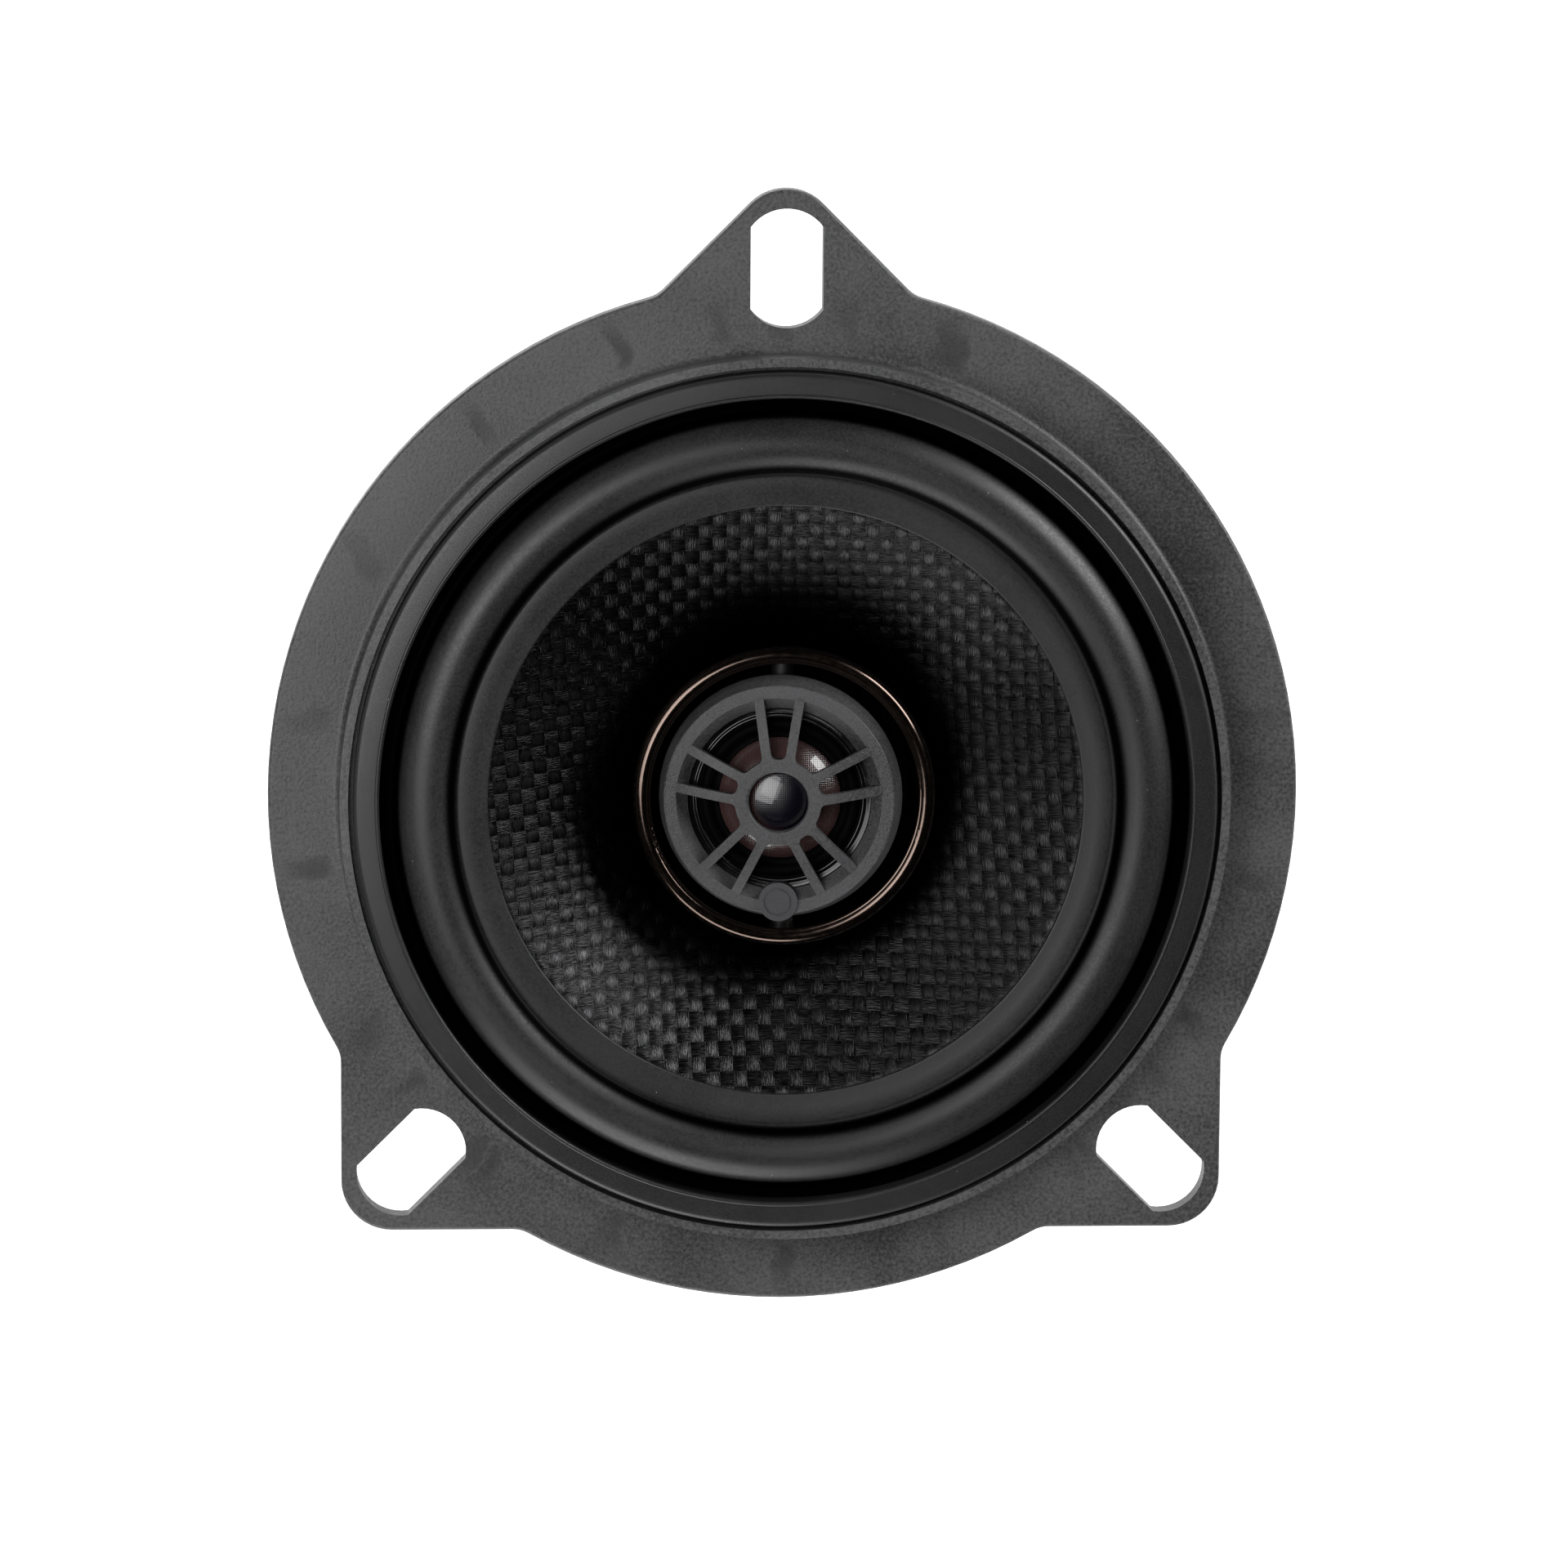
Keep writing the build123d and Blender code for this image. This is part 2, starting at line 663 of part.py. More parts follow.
def dome_surround():
    z = DOME_Z - DOME_T
    return lean(
        ring(
            (DOME_R, z),
            (DOME_R, z + 0.3),
            ((8.0, z - 0.15 + 0.3), (8.6, z + 0.35)),
            ((9.25, z + 0.75), (9.8, z + 0.3)),
            (11.1, z + 0.3),
            (11.1, z),
            (9.7, z),
            ((9.25, z + 0.45), (8.6, z + 0.05)),
            ((8.0, z - 0.3), (7.7, z)),
        )
    )


def tweeter_pot():
    wall = tube(POT_R, DOME_GAP_R, POT_FLOOR_Z, POT_TOP_Z)
    return lean(wall + tube(POT_R, 0, POT_Z, POT_FLOOR_Z))


def clamp_ring():
    near, far = CLAMP_R - 1.2, CLAMP_R - 0.1
    return lean(
        ring((near, DOME_Z), (far, DOME_Z), (far, CLAMP_Z), (near + 0.4, CLAMP_Z), (near, DOME_Z + 0.25))
    )


# ------------------------------------------------------------------ terminals and wiring
def rivet_hole(side):
    return Pos(side * TAB_AT, BOARD_Y, RIVET_Z) * Rot(90, 0, 0) * Cylinder(RIVET_R, 6)


def terminal_board():
    plate = Box(BOARD_WIDE, BOARD_T, BOARD_HIGH)
    plate = fillet(plate.edges().filter_by(Axis.Y), 1.2)
    body = Pos(0, BOARD_Y + BOARD_T / 2, BOARD_Z) * plate
    return body - rivet_hole(1) - rivet_hole(-1)


def tab(side, wide):
    """A flat blade with a round hole near its tip, riveted to the board."""
    high = RIVET_Z + 2.4
    y = BOARD_Y - TAB_T / 2
    blade = Pos(side * TAB_AT, y, (TAB_TIP_Z + high) / 2) * Box(wide, TAB_T, high - TAB_TIP_Z)
    blade = chamfer(blade.edges().filter_by(Axis.Y).group_by(Axis.Z)[0], 0.6)
    blade -= Pos(side * TAB_AT, y, TAB_TIP_Z + 3.4) * Rot(90, 0, 0) * Cylinder(0.8, 6)
    head = Pos(side * TAB_AT, y, RIVET_Z) * Box(5.6, TAB_T, 4.8)
    return blade + head - rivet_hole(side)


def tab_rivets():
    rivets = []
    for side in (-1, 1):
        through = BOARD_T + TAB_T
        shank = Cylinder(RIVET_R, through)
        head = Pos(0, 0, through / 2 + 0.3) * Cylinder(RIVET_R + 0.8, 0.6)
        tail = Pos(0, 0, -through / 2 - RIVET_TAIL / 2) * Cylinder(RIVET_R + 0.5, RIVET_TAIL)
        place = Pos(side * TAB_AT, BOARD_Y + (BOARD_T - TAB_T) / 2, RIVET_Z)
        rivets.append(place * Rot(90, 0, 0) * (shank + head + tail))
    return Compound(rivets)


def on_capacitor(shape):
    """Lays a shape that stands on Z along the capacitor's axis."""
    return Rot(0, 0, CAP_ANGLE) * Pos(CAN_R + CAP_R + 0.3, 0, CAP_Z) * Rot(90, 0, 0) * shape


def crossover_capacitor():
    can = fillet(Cylinder(CAP_R, CAP_LONG).edges(), 0.5)
    neck = Pos(0, 0, -CAP_LONG / 2 + 1.8) * (Cylinder(CAP_R + 1, 0.5) - Cylinder(CAP_R - 0.3, 0.5))
    return on_capacitor(can - neck)


def capacitor_adhesive():
    bead = Pos(-CAP_R, 0, 0) * Cylinder(1.9, CAP_LONG - 5)
    bead -= Cylinder(CAP_R, CAP_LONG)
    return on_capacitor(bead) - tube(CAN_R, 0, -40, 0)


def capacitor_end(end, out=0.0):
    """A point on the capacitor's axis, past one of its flat ends."""
    a = math.radians(CAP_ANGLE)
    reach, along = CAN_R + CAP_R + 0.3, end * (CAP_LONG / 2 + out)
    x = reach * math.cos(a) - along * math.sin(a)
    return (x, reach * math.sin(a) + along * math.cos(a), CAP_Z)


def behind_rivet(side):
    """Two points that lead a wire straight off the inner end of a tab's rivet."""
    y = BOARD_Y + BOARD_T + RIVET_TAIL
    return [(side * TAB_AT, y, RIVET_Z), (side * TAB_AT, y + 1.6, RIVET_Z)]


def capacitor_lead():
    """From the capacitor's near end to the positive tab."""
    return wire(
        [
            capacitor_end(-1, 0.0),
            capacitor_end(-1, 1.8),
            (8.9, -37.0, -18.6),
            *reversed(behind_rivet(1)),
        ],
        0.45,
    )


def down_the_back(side):
    """The shared end of both tweeter wires: under the magnet, in the channel and up the post."""
    x, floor = side * 0.75, BACK_Z + 1.0
    beside = -(MAGNET_R + 1.0)
    return [
        (x, beside, -34.0),
        (x, beside - 0.1, -39.6),
        (x, beside + 2.4, floor),
        (x, -20.0, floor + 0.05),
        (x, -6.0, floor),
        (x, -1.3, floor + 0.1),
        (x, 0.0, floor + 1.5),
        (x, 0.05, -34.0),
        (x, 0.0, SPINDLE_TOP_Z - 0.2),
    ]


def tweeter_wire_negative():
    return wire(
        [
            *behind_rivet(-1),
            (-7.6, -37.6, -19.6),
            (-6.0, -37.0, -24.6),
            (-2.6, -36.4, -29.4),
            *down_the_back(-1),
        ]
    )


def tweeter_wire_positive():
    r = MAGNET_R + 1.3
    return wire(
        [
            capacitor_end(1, 0.0),
            capacitor_end(1, 2.6),
            polar(r + 1.6, -40, -24.0),
            polar(r, -48, -27.0),
            polar(r, -58, -28.6),
            polar(r, -68, -29.6),
            polar(r, -79, -30.6),
            *down_the_back(1),
        ]
    )


def pod_lead_loops():
    """The slack between the post and the pod, which bends as the pod tips."""
    leads = [Pos(s * 0.75, 0, 0) * tube(WIRE_R - 0.1, 0, SPINDLE_TOP_Z - 0.2, -4.16) for s in (-1, 1)]
    return Compound(leads)


# ------------------------------------------------------------------ every sub-part by name
PARTS = {
    "basket": basket,
    "front_gasket_ring": front_gasket_ring,
    "rear_foam_seal": lambda: tube(SEAL_R, SEAL_IN_R, -SEAL_T, 0),
    "top_plate": top_plate,
    "ferrite_magnet": lambda: broken(tube(MAGNET_R, MAGNET_IN_R, MAGNET_Z, PLATE_Z), 0.9),
    "pole_yoke": pole_yoke,
    "plate_screws": plate_screws,
    "terminal_board": terminal_board,
    "positive_tab": lambda: tab(1, 4.8),
    "negative_tab": lambda: tab(-1, 2.8),
    "tab_rivets": tab_rivets,
    "crossover_capacitor": crossover_capacitor,
    "capacitor_adhesive": capacitor_adhesive,
    "capacitor_lead": capacitor_lead,
    "tweeter_wire_positive": tweeter_wire_positive,
    "tweeter_wire_negative": tweeter_wire_negative,
    "tweeter_post": tweeter_post,
    "post_nut": post_nut,
    "cup_retaining_ring": cup_retaining_ring,
    "cone": cone,
    "surround": surround,
    "spider": spider,
    "coil_former": lambda: tube(FORMER_R, FORMER_IN_R, FORMER_Z, FORMER_TOP_Z),
    "voice_coil": lambda: tube(COIL_R, FORMER_R, FORMER_Z + 0.4, FORMER_Z + 9.8),
    "lead_pads": lead_pads,
    "tinsel_lead_positive": lambda: tinsel_lead(1),
    "tinsel_lead_negative": lambda: tinsel_lead(-1),
    "tweeter_cup": tweeter_cup,
    "tilt_pins": tilt_pins,
    "tilt_friction_rings": tilt_friction_rings,
    "pod_shell": pod_shell,
    "tweeter_grille": tweeter_grille,
    "badge_disc": badge_disc,
    "clamp_ring": clamp_ring,
    "tweeter_pot": tweeter_pot,
    "tweeter_magnet": lambda: lean(tube(6.6, 0, POT_FLOOR_Z, POLE_DISC_Z)),
    "tweeter_pole_disc": lambda: lean(tube(6.95, 0, POLE_DISC_Z, POT_TOP_Z)),
    "pod_lead_loops": pod_lead_loops,
    "silk_dome": silk_dome,
    "dome_surround": dome_surround,
    "dome_coil_former": lambda: lean(tube(DOME_COIL_R, DOME_COIL_R - 0.15, 0.9, DOME_Z - DOME_T - 0.1)),
    "dome_coil": lambda: lean(tube(DOME_COIL_R + 0.2, DOME_COIL_R, 0.95, 3.15)),
}


def main():
    os.makedirs("parts", exist_ok=True)
    for name, make in PARTS.items():
        export_step(make(), f"parts/{name}.step")


main()
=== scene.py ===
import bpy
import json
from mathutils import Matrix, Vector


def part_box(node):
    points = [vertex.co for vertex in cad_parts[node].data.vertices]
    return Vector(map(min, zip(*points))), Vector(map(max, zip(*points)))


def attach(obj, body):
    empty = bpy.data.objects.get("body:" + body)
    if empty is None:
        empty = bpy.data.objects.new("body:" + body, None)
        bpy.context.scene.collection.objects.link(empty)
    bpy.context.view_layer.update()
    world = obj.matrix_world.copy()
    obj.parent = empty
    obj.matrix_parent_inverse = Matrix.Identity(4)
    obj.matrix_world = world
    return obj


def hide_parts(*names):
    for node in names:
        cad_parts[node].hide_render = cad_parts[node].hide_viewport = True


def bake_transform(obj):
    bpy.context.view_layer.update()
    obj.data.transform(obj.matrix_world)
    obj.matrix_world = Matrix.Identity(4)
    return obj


bl_info = {
    "name": "Coaxial Car Speaker",
    "version": (1, 0, 0),
    "blender": (4, 5, 0),
    "location": "3D View > Sidebar > Speaker",
    "description": "Woven cone, rubber surround, swivelling dome tweeter and finishes for a coaxial speaker",
    "category": "Object",
}

import json
import math

import bpy
import numpy as np
from bpy.props import FloatProperty, FloatVectorProperty, IntProperty, PointerProperty
from mathutils import Matrix, Vector

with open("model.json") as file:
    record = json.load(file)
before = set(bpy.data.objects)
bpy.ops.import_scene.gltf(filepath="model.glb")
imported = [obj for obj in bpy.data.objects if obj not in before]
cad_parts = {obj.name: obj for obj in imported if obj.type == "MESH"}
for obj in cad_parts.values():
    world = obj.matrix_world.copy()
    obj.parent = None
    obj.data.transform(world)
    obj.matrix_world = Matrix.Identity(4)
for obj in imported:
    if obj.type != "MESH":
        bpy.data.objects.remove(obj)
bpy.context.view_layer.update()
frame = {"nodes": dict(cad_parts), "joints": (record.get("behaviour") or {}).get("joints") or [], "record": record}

MM = 0.001
JOINTS = {j["name"]: j for j in frame["joints"]}
SLOT_OF = {s["node"]: s["material_slot"] for s in frame["record"]["subparts"]}
FLANGE_FRONT = 3.0 * MM
FLOOR_Z = min(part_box(name)[0].z for name in frame["nodes"])
POD_PIVOT = Vector(JOINTS["pod_tilt"]["pos_m"])
POD_AXIS = Vector(JOINTS["dome_travel"]["axis"])
UP = Vector((0, 0, 1))
LEAN = (
    Matrix.Translation(POD_PIVOT)
    @ UP.rotation_difference(POD_AXIS).to_matrix().to_4x4()
    @ Matrix.Translation(-POD_PIVOT)
)


# ------------------------------------------------------------------ sizes and colours to change
def length(name, default, description):
    return FloatProperty(
        name=name, default=default, min=0, unit="LENGTH", precision=5, description=description
    )


def colour(name, default, description):
    return FloatVectorProperty(
        name=name, default=default, subtype="COLOR", size=3, min=0, max=1, description=description
    )


class SpeakerSizes(bpy.types.PropertyGroup):
    weave_pitch: length("Yarn pitch", 1.7 * MM, "Distance between neighbouring yarns of the cone's cloth")
    yarn_rise: length("Yarn rise", 0.09 * MM, "How far a yarn's crown stands above the crossings")
    cone_steps: IntProperty(name="Cone steps", default=544, min=64, description="Steps round the woven cone")
    ring_steps: IntProperty(name="Ring steps", default=288, min=32, description="Steps round the big rings")
    small_steps: IntProperty(name="Small steps", default=144, min=24, description="Steps round tweeter rings")


class SpeakerColours(bpy.types.PropertyGroup):
    basket: colour("Basket", (0.060, 0.060, 0.062), "Charcoal moulded basket")
    rubber: colour("Rubber", (0.012, 0.012, 0.013), "Surround and gasket")
    cloth: colour("Cone cloth", (0.033, 0.033, 0.034), "Resin-coated glass cloth")
    pod: colour("Tweeter pod", (0.045, 0.045, 0.047), "Fine-grained pod and grille")
    silk: colour("Silk dome", (0.050, 0.026, 0.025), "Coated silk")
    nickel: colour("Black nickel", (0.105, 0.078, 0.066), "Plated tweeter cup")
    zinc: colour("Zinc", (0.30, 0.305, 0.32), "Plated motor steel")
    ferrite: colour("Ferrite", (0.040, 0.040, 0.043), "Magnet ring")


class SpeakerStage(bpy.types.PropertyGroup):
    distance: length("Camera distance", 900 * MM, "From the lens to the middle of the flange")
    view_width: length("View width", 193.2 * MM, "Width of the picture at the flange")
    aim_up: length("Aim", 1.4 * MM, "How far above the sound axis the camera looks")
    tilt_up: FloatProperty(name="Tilt to the top", default=math.radians(9.2), subtype="ANGLE",
                           description="How far the camera leans towards the top ear")
    tilt_left: FloatProperty(name="Tilt to the left", default=math.radians(3.0), subtype="ANGLE",
                             description="How far the camera leans to the left")
    roll: FloatProperty(name="Roll", default=math.radians(0.35), subtype="ANGLE", description="Camera roll")
    left: FloatProperty(name="Left", default=0.33, min=0, description="Watts of the near light on the left")
    overhead: FloatProperty(name="Overhead", default=0.42, min=0, description="Watts of the light overhead")
    right: FloatProperty(name="Right", default=1.35, min=0, description="Watts of the low light, upper right")
    low: FloatProperty(name="Low", default=1.15, min=0, description="Watts of the low light, lower left")
    sky: FloatProperty(name="Sky", default=0.015, min=0, description="Strength of the even light all round")


def sizes():
    return bpy.context.scene.speaker_sizes


def colours():
    return bpy.context.scene.speaker_colours


# ------------------------------------------------------------------ drawing and turning by hand
def deselect():
    if bpy.context.object and bpy.context.object.mode != "OBJECT":
        bpy.ops.object.mode_set(mode="OBJECT")
    bpy.ops.object.select_all(action="DESELECT")


def pick(piece):
    deselect()
    piece.select_set(True)
    bpy.context.view_layer.objects.active = piece


def named(piece, name):
    piece.name = name
    piece.data.name = name
    return piece


def arc(start, through, end, count):
    """Points on the circle through three r-z points, in millimetres, without the first."""
    (ax, ay), (bx, by), (cx, cy) = start, through, end
    d = 2 * (ax * (by - cy) + bx * (cy - ay) + cx * (ay - by))
    a2, b2, c2 = ax * ax + ay * ay, bx * bx + by * by, cx * cx + cy * cy
    r0 = (a2 * (by - cy) + b2 * (cy - ay) + c2 * (ay - by)) / d
    z0 = (a2 * (cx - bx) + b2 * (ax - cx) + c2 * (bx - ax)) / d
    turns = [math.atan2(z - z0, r - r0) for r, z in (start, through, end)]
    sweep = (turns[2] - turns[0]) % math.tau
    if (turns[1] - turns[0]) % math.tau > sweep:
        sweep -= math.tau
    radius = math.hypot(ax - r0, ay - z0)
    steps = (turns[0] + sweep * k / count for k in range(1, count + 1))
    return [(r0 + radius * math.cos(t), z0 + radius * math.sin(t)) for t in steps]


def section(start, *moves):
    """A profile in r and z, in millimetres. A move is a point, or (through, end, count) for an arc."""
    points = [start]
    for move in moves:
        if isinstance(move[0], tuple):
            points += arc(points[-1], move[0], move[1], move[2])
        else:
            points.append(move)
    return points


def along(start, end, count):
    """Evenly spaced points on a straight line, both ends included."""
    return [tuple(a + (b - a) * k / count for a, b in zip(start, end)) for k in range(count + 1)]


def turn(name, profile, steps, closed=True):
    """Draws the profile by extruding one corner point after point, then spins it about the sound axis."""
    deselect()
    bpy.ops.mesh.primitive_plane_add(size=MM, location=(0, 0, 0))
    piece = named(bpy.context.object, name)
    bpy.ops.object.mode_set(mode="EDIT")
    bpy.ops.mesh.select_all(action="SELECT")
    bpy.ops.mesh.merge(type="CENTER")
    route = profile + [profile[0]] if closed else profile
    bpy.ops.transform.translate(value=(route[0][0] * MM, 0, route[0][1] * MM))
    for (r0, z0), (r1, z1) in zip(route, route[1:]):
        step = ((r1 - r0) * MM, 0, (z1 - z0) * MM)
        bpy.ops.mesh.extrude_region_move(TRANSFORM_OT_translate={"value": step})
    bpy.ops.mesh.select_all(action="SELECT")
    bpy.ops.mesh.remove_doubles(threshold=0.002 * MM)
    bpy.ops.mesh.select_all(action="SELECT")
    bpy.ops.mesh.spin(steps=steps, angle=math.tau, center=(0, 0, 0), axis=(0, 0, 1), use_auto_merge=True)
    bpy.ops.mesh.select_all(action="SELECT")
    bpy.ops.mesh.remove_doubles(threshold=0.002 * MM)
    bpy.ops.mesh.normals_make_consistent(inside=False)
    bpy.ops.object.mode_set(mode="OBJECT")
    bpy.ops.object.shade_smooth_by_angle(angle=math.radians(38))
    return piece


def copy_of(node, name):
    """The node's own shape as one connected mesh, ready to be worked on."""
    piece = frame["nodes"][node].copy()
    piece.data = frame["nodes"][node].data.copy()
    piece.parent = None
    for key in list(piece.keys()):
        del piece[key]
    bpy.context.collection.objects.link(piece)
    named(piece, name)
    pick(piece)
    bpy.ops.mesh.customdata_custom_splitnormals_clear()
    bpy.ops.object.mode_set(mode="EDIT")
    bpy.ops.mesh.select_all(action="SELECT")
    bpy.ops.mesh.remove_doubles(threshold=0.002 * MM)
    bpy.ops.object.mode_set(mode="OBJECT")
    bpy.ops.object.shade_smooth_by_angle(angle=math.radians(30))
    return piece


def modify(piece, kind, **values):
    pick(piece)
    modifier = piece.modifiers.new(kind.title(), kind)
    for key, value in values.items():
        setattr(modifier, key, value)
    bpy.ops.object.modifier_apply(modifier=modifier.name)
    return piece


def points_of(piece):
    co = np.empty(len(piece.data.vertices) * 3)
    piece.data.vertices.foreach_get("co", co)
    return co.reshape(-1, 3)


def wear(piece, finish):
    piece.data.materials.clear()
    piece.data.materials.append(finish)
    return piece


def fit(piece, body, *nodes):
    """The piece stands for its CAD nodes and moves with their body."""
    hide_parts(*nodes)
    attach(piece, body)
    return piece


def stretch(piece, node, middle=None):
    """Hides the node and bakes the piece's place into its mesh; the piece is not bent and not attached to a body.
    """
    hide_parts(node)
    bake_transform(piece)
    co = points_of(piece) - np.array(middle or (0, 0, 0))
    return piece


# ------------------------------------------------------------------ shader effects
def add(tree, kind, inputs=None, **settings):
    made = tree.nodes.new(kind)
    for key, value in settings.items():
        setattr(made, key, value)
    for key, value in (inputs or {}).items():
        if isinstance(value, bpy.types.NodeSocket):
            tree.links.new(value, made.inputs[key])
        else:
            made.inputs[key].default_value = value
    return made


def maths(tree, operation, *values):
    return add(tree, "ShaderNodeMath", dict(enumerate(values)), operation=operation).outputs[0]


def scaled(tree, vector, factors):
    """A vector multiplied part by part."""
    return add(tree, "ShaderNodeVectorMath", {0: vector, 1: factors}, operation="MULTIPLY").outputs[0]


def spread(tree, value, low, high, to_low=0.0, to_high=1.0):
    """Stretches a value's range to another, held at both ends."""
    inputs = {"Value": value, "From Min": low, "From Max": high, "To Min": to_low, "To Max": to_high}
    return add(tree, "ShaderNodeMapRange", inputs, interpolation_type="SMOOTHSTEP").outputs["Result"]


def mix(tree, share, first, second):
    made = add(tree, "ShaderNodeMix", data_type="RGBA")
    for socket, value in ((0, share), (6, first), (7, second)):
        if isinstance(value, bpy.types.NodeSocket):
            tree.links.new(value, made.inputs[socket])
        else:
            made.inputs[socket].default_value = value
    return made.outputs[2]


def noise(tree, vector, scale, detail, roughness=0.5):
    """Noise whose height is its first output."""
    inputs = {"Vector": vector, "Scale": scale, "Detail": detail, "Roughness": roughness}
    return add(tree, "ShaderNodeTexNoise", inputs)


def effect(name, inputs, outputs):
    """An empty node group with named sockets: (tree, its input node's sockets, its output node's sockets)."""
    tree = bpy.data.node_groups.new(name, "ShaderNodeTree")
    for label, kind, value in inputs:
        socket = tree.interface.new_socket(name=label, in_out="INPUT", socket_type=kind)
        if value is not None:
            socket.default_value = value
    for label, kind in outputs:
        tree.interface.new_socket(name=label, in_out="OUTPUT", socket_type=kind)
    return tree, tree.nodes.new("NodeGroupInput").outputs, tree.nodes.new("NodeGroupOutput").inputs


def object_point(tree):
    return tree.nodes.new("ShaderNodeTexCoord").outputs["Object"]


def radius_and_angle(tree):
    parts = add(tree, "ShaderNodeSeparateXYZ", {0: object_point(tree)}).outputs
    squares = maths(tree, "ADD", maths(tree, "POWER", parts[0], 2.0), maths(tree, "POWER", parts[1], 2.0))
    return maths(tree, "SQRT", squares), maths(tree, "ARCTAN2", parts[1], parts[0]), parts[2]


FLOAT, RGBA, VECTOR = "NodeSocketFloat", "NodeSocketColor", "NodeSocketVector"
DUST = (0.22, 0.22, 0.21, 1)
# near-black for painted shade: the roll's creases and the cloth round the cone's neck
PAINTED_SHADE_BLACK = (0.0006, 0.0006, 0.0006, 1)


def make_grain():
    """Fine moulded or cast grain with slow cloudy changes of tone."""
    tree, given, out = effect(
        "Fine Grain",
        [("Grains per Metre", FLOAT, 4000.0), ("Low Colour", RGBA, None), ("High Colour", RGBA, None),
         ("Low Roughness", FLOAT, 0.4), ("High Roughness", FLOAT, 0.6)],
        [("Colour", RGBA), ("Roughness", FLOAT), ("Height", FLOAT)],
    )
    point = object_point(tree)
    fine = noise(tree, point, given[0], 3.0, 0.65)
    cloud = noise(tree, point, 55.0, 4.0, 0.6)
    tone = maths(tree, "ADD", maths(tree, "MULTIPLY", fine.outputs[0], 0.6),
                 maths(tree, "MULTIPLY", cloud.outputs[0], 0.4))
    share = spread(tree, tone, 0.32, 0.68)
    tree.links.new(mix(tree, share, given[1], given[2]), out["Colour"])
    rough = add(tree, "ShaderNodeMapRange", {"Value": share, "To Min": given[3], "To Max": given[4]})
    tree.links.new(rough.outputs[0], out["Roughness"])
    tree.links.new(fine.outputs[0], out["Height"])
    return tree


def make_dust():
    """Sparse pale specks of dust that settle on rubber."""
    tree, given, out = effect("Settled Dust", [("Specks per Metre", FLOAT, 700.0), ("Size", FLOAT, 0.05)],
                              [("Mask", FLOAT)])
    point = object_point(tree)
    cells = add(tree, "ShaderNodeTexVoronoi", {"Vector": point, "Scale": given[0], "Randomness": 1.0})
    chance = add(tree, "ShaderNodeSeparateColor", {0: cells.outputs["Color"]}).outputs[0]
    reach = maths(tree, "MULTIPLY", given[1], spread(tree, chance, 0.72, 1.0))
    speck = maths(tree, "LESS_THAN", cells.outputs["Distance"], reach)
    tree.links.new(speck, out["Mask"])
    return tree


def make_sink_marks():
    """Soft dull marks on the flange over the ribs behind it: every twenty degrees and beside each slot."""
    tree, given, out = effect(
        "Rib Sink Marks", [("Ribs", FLOAT, 18.0)], [("Height", FLOAT), ("Mask", FLOAT)]
    )
    radius, angle, height = radius_and_angle(tree)
    point = object_point(tree)
    wander = add(tree, "ShaderNodeTexNoise", {"Vector": point, "Scale": 150.0, "Detail": 2.0}).outputs[0]
    loose = maths(tree, "ADD", angle, spread(tree, wander, 0.2, 0.8, -0.03, 0.03))
    turned = maths(tree, "SUBTRACT", loose, math.pi / 2)
    marks = spread(tree, maths(tree, "COSINE", maths(tree, "MULTIPLY", turned, given[0])), 0.86, 1.0)
    for ear in (90, 225, 315):
        for side in (-7.5, 7.5):
            away = maths(tree, "SUBTRACT", loose, math.remainder(math.radians(ear + side), math.tau))
            near = spread(tree, maths(tree, "ABSOLUTE", away), math.radians(1.9), 0.0)
            marks = maths(tree, "MAXIMUM", marks, near)
    inside = maths(tree, "MULTIPLY", spread(tree, radius, 55.6 * MM, 57.2 * MM),
                   spread(tree, radius, 63.4 * MM, 58.8 * MM))
    front = spread(tree, height, 2.7 * MM, 2.9 * MM)
    below = spread(tree, height, 3.4 * MM, 3.2 * MM)
    patches = add(tree, "ShaderNodeTexNoise", {"Vector": point, "Scale": 70.0}).outputs[0]
    patchy = spread(tree, patches, 0.35, 0.6, 0.25, 1)
    mask = maths(tree, "MULTIPLY", maths(tree, "MULTIPLY", marks, inside),
                 maths(tree, "MULTIPLY", maths(tree, "MULTIPLY", front, below), patchy))
    tree.links.new(mask, out["Mask"])
    tree.links.new(maths(tree, "SUBTRACT", 1.0, mask), out["Height"])
    return tree


def make_weave():
    """Plain weave from a map that counts yarns: the top yarn's height, its set and its fibres."""
    tree, given, out = effect(
        "Plain Weave", [("Yarns", VECTOR, None)], [("Height", FLOAT), ("Warp", FLOAT), ("Fibres", FLOAT)]
    )
    parts = add(tree, "ShaderNodeSeparateXYZ", {0: given[0]}).outputs
    waves = [maths(tree, "SINE", maths(tree, "MULTIPLY", parts[k], math.pi)) for k in (0, 1)]
    signs = [maths(tree, "SIGN", w) for w in waves]
    crowns = [maths(tree, "ABSOLUTE", w) for w in waves]
    warp = maths(tree, "ADD", maths(tree, "MULTIPLY", signs[0], waves[1]), crowns[0])
    weft = maths(tree, "SUBTRACT", crowns[1], maths(tree, "MULTIPLY", signs[1], waves[0]))
    top = maths(tree, "GREATER_THAN", warp, weft)
    tree.links.new(maths(tree, "MULTIPLY", maths(tree, "MAXIMUM", warp, weft), 0.5), out["Height"])
    tree.links.new(top, out["Warp"])
    strands = []
    for along, across in ((1.2, 14.0), (14.0, 1.2)):
        stretched = scaled(tree, given[0], (across, along, 1.0))
        strands.append(add(tree, "ShaderNodeTexNoise", {"Vector": stretched, "Scale": 1.0}).outputs[0])
    fibres = add(tree, "ShaderNodeMix", {0: top, 2: strands[1], 3: strands[0]}, data_type="FLOAT")
    tree.links.new(fibres.outputs[0], out["Fibres"])
    return tree


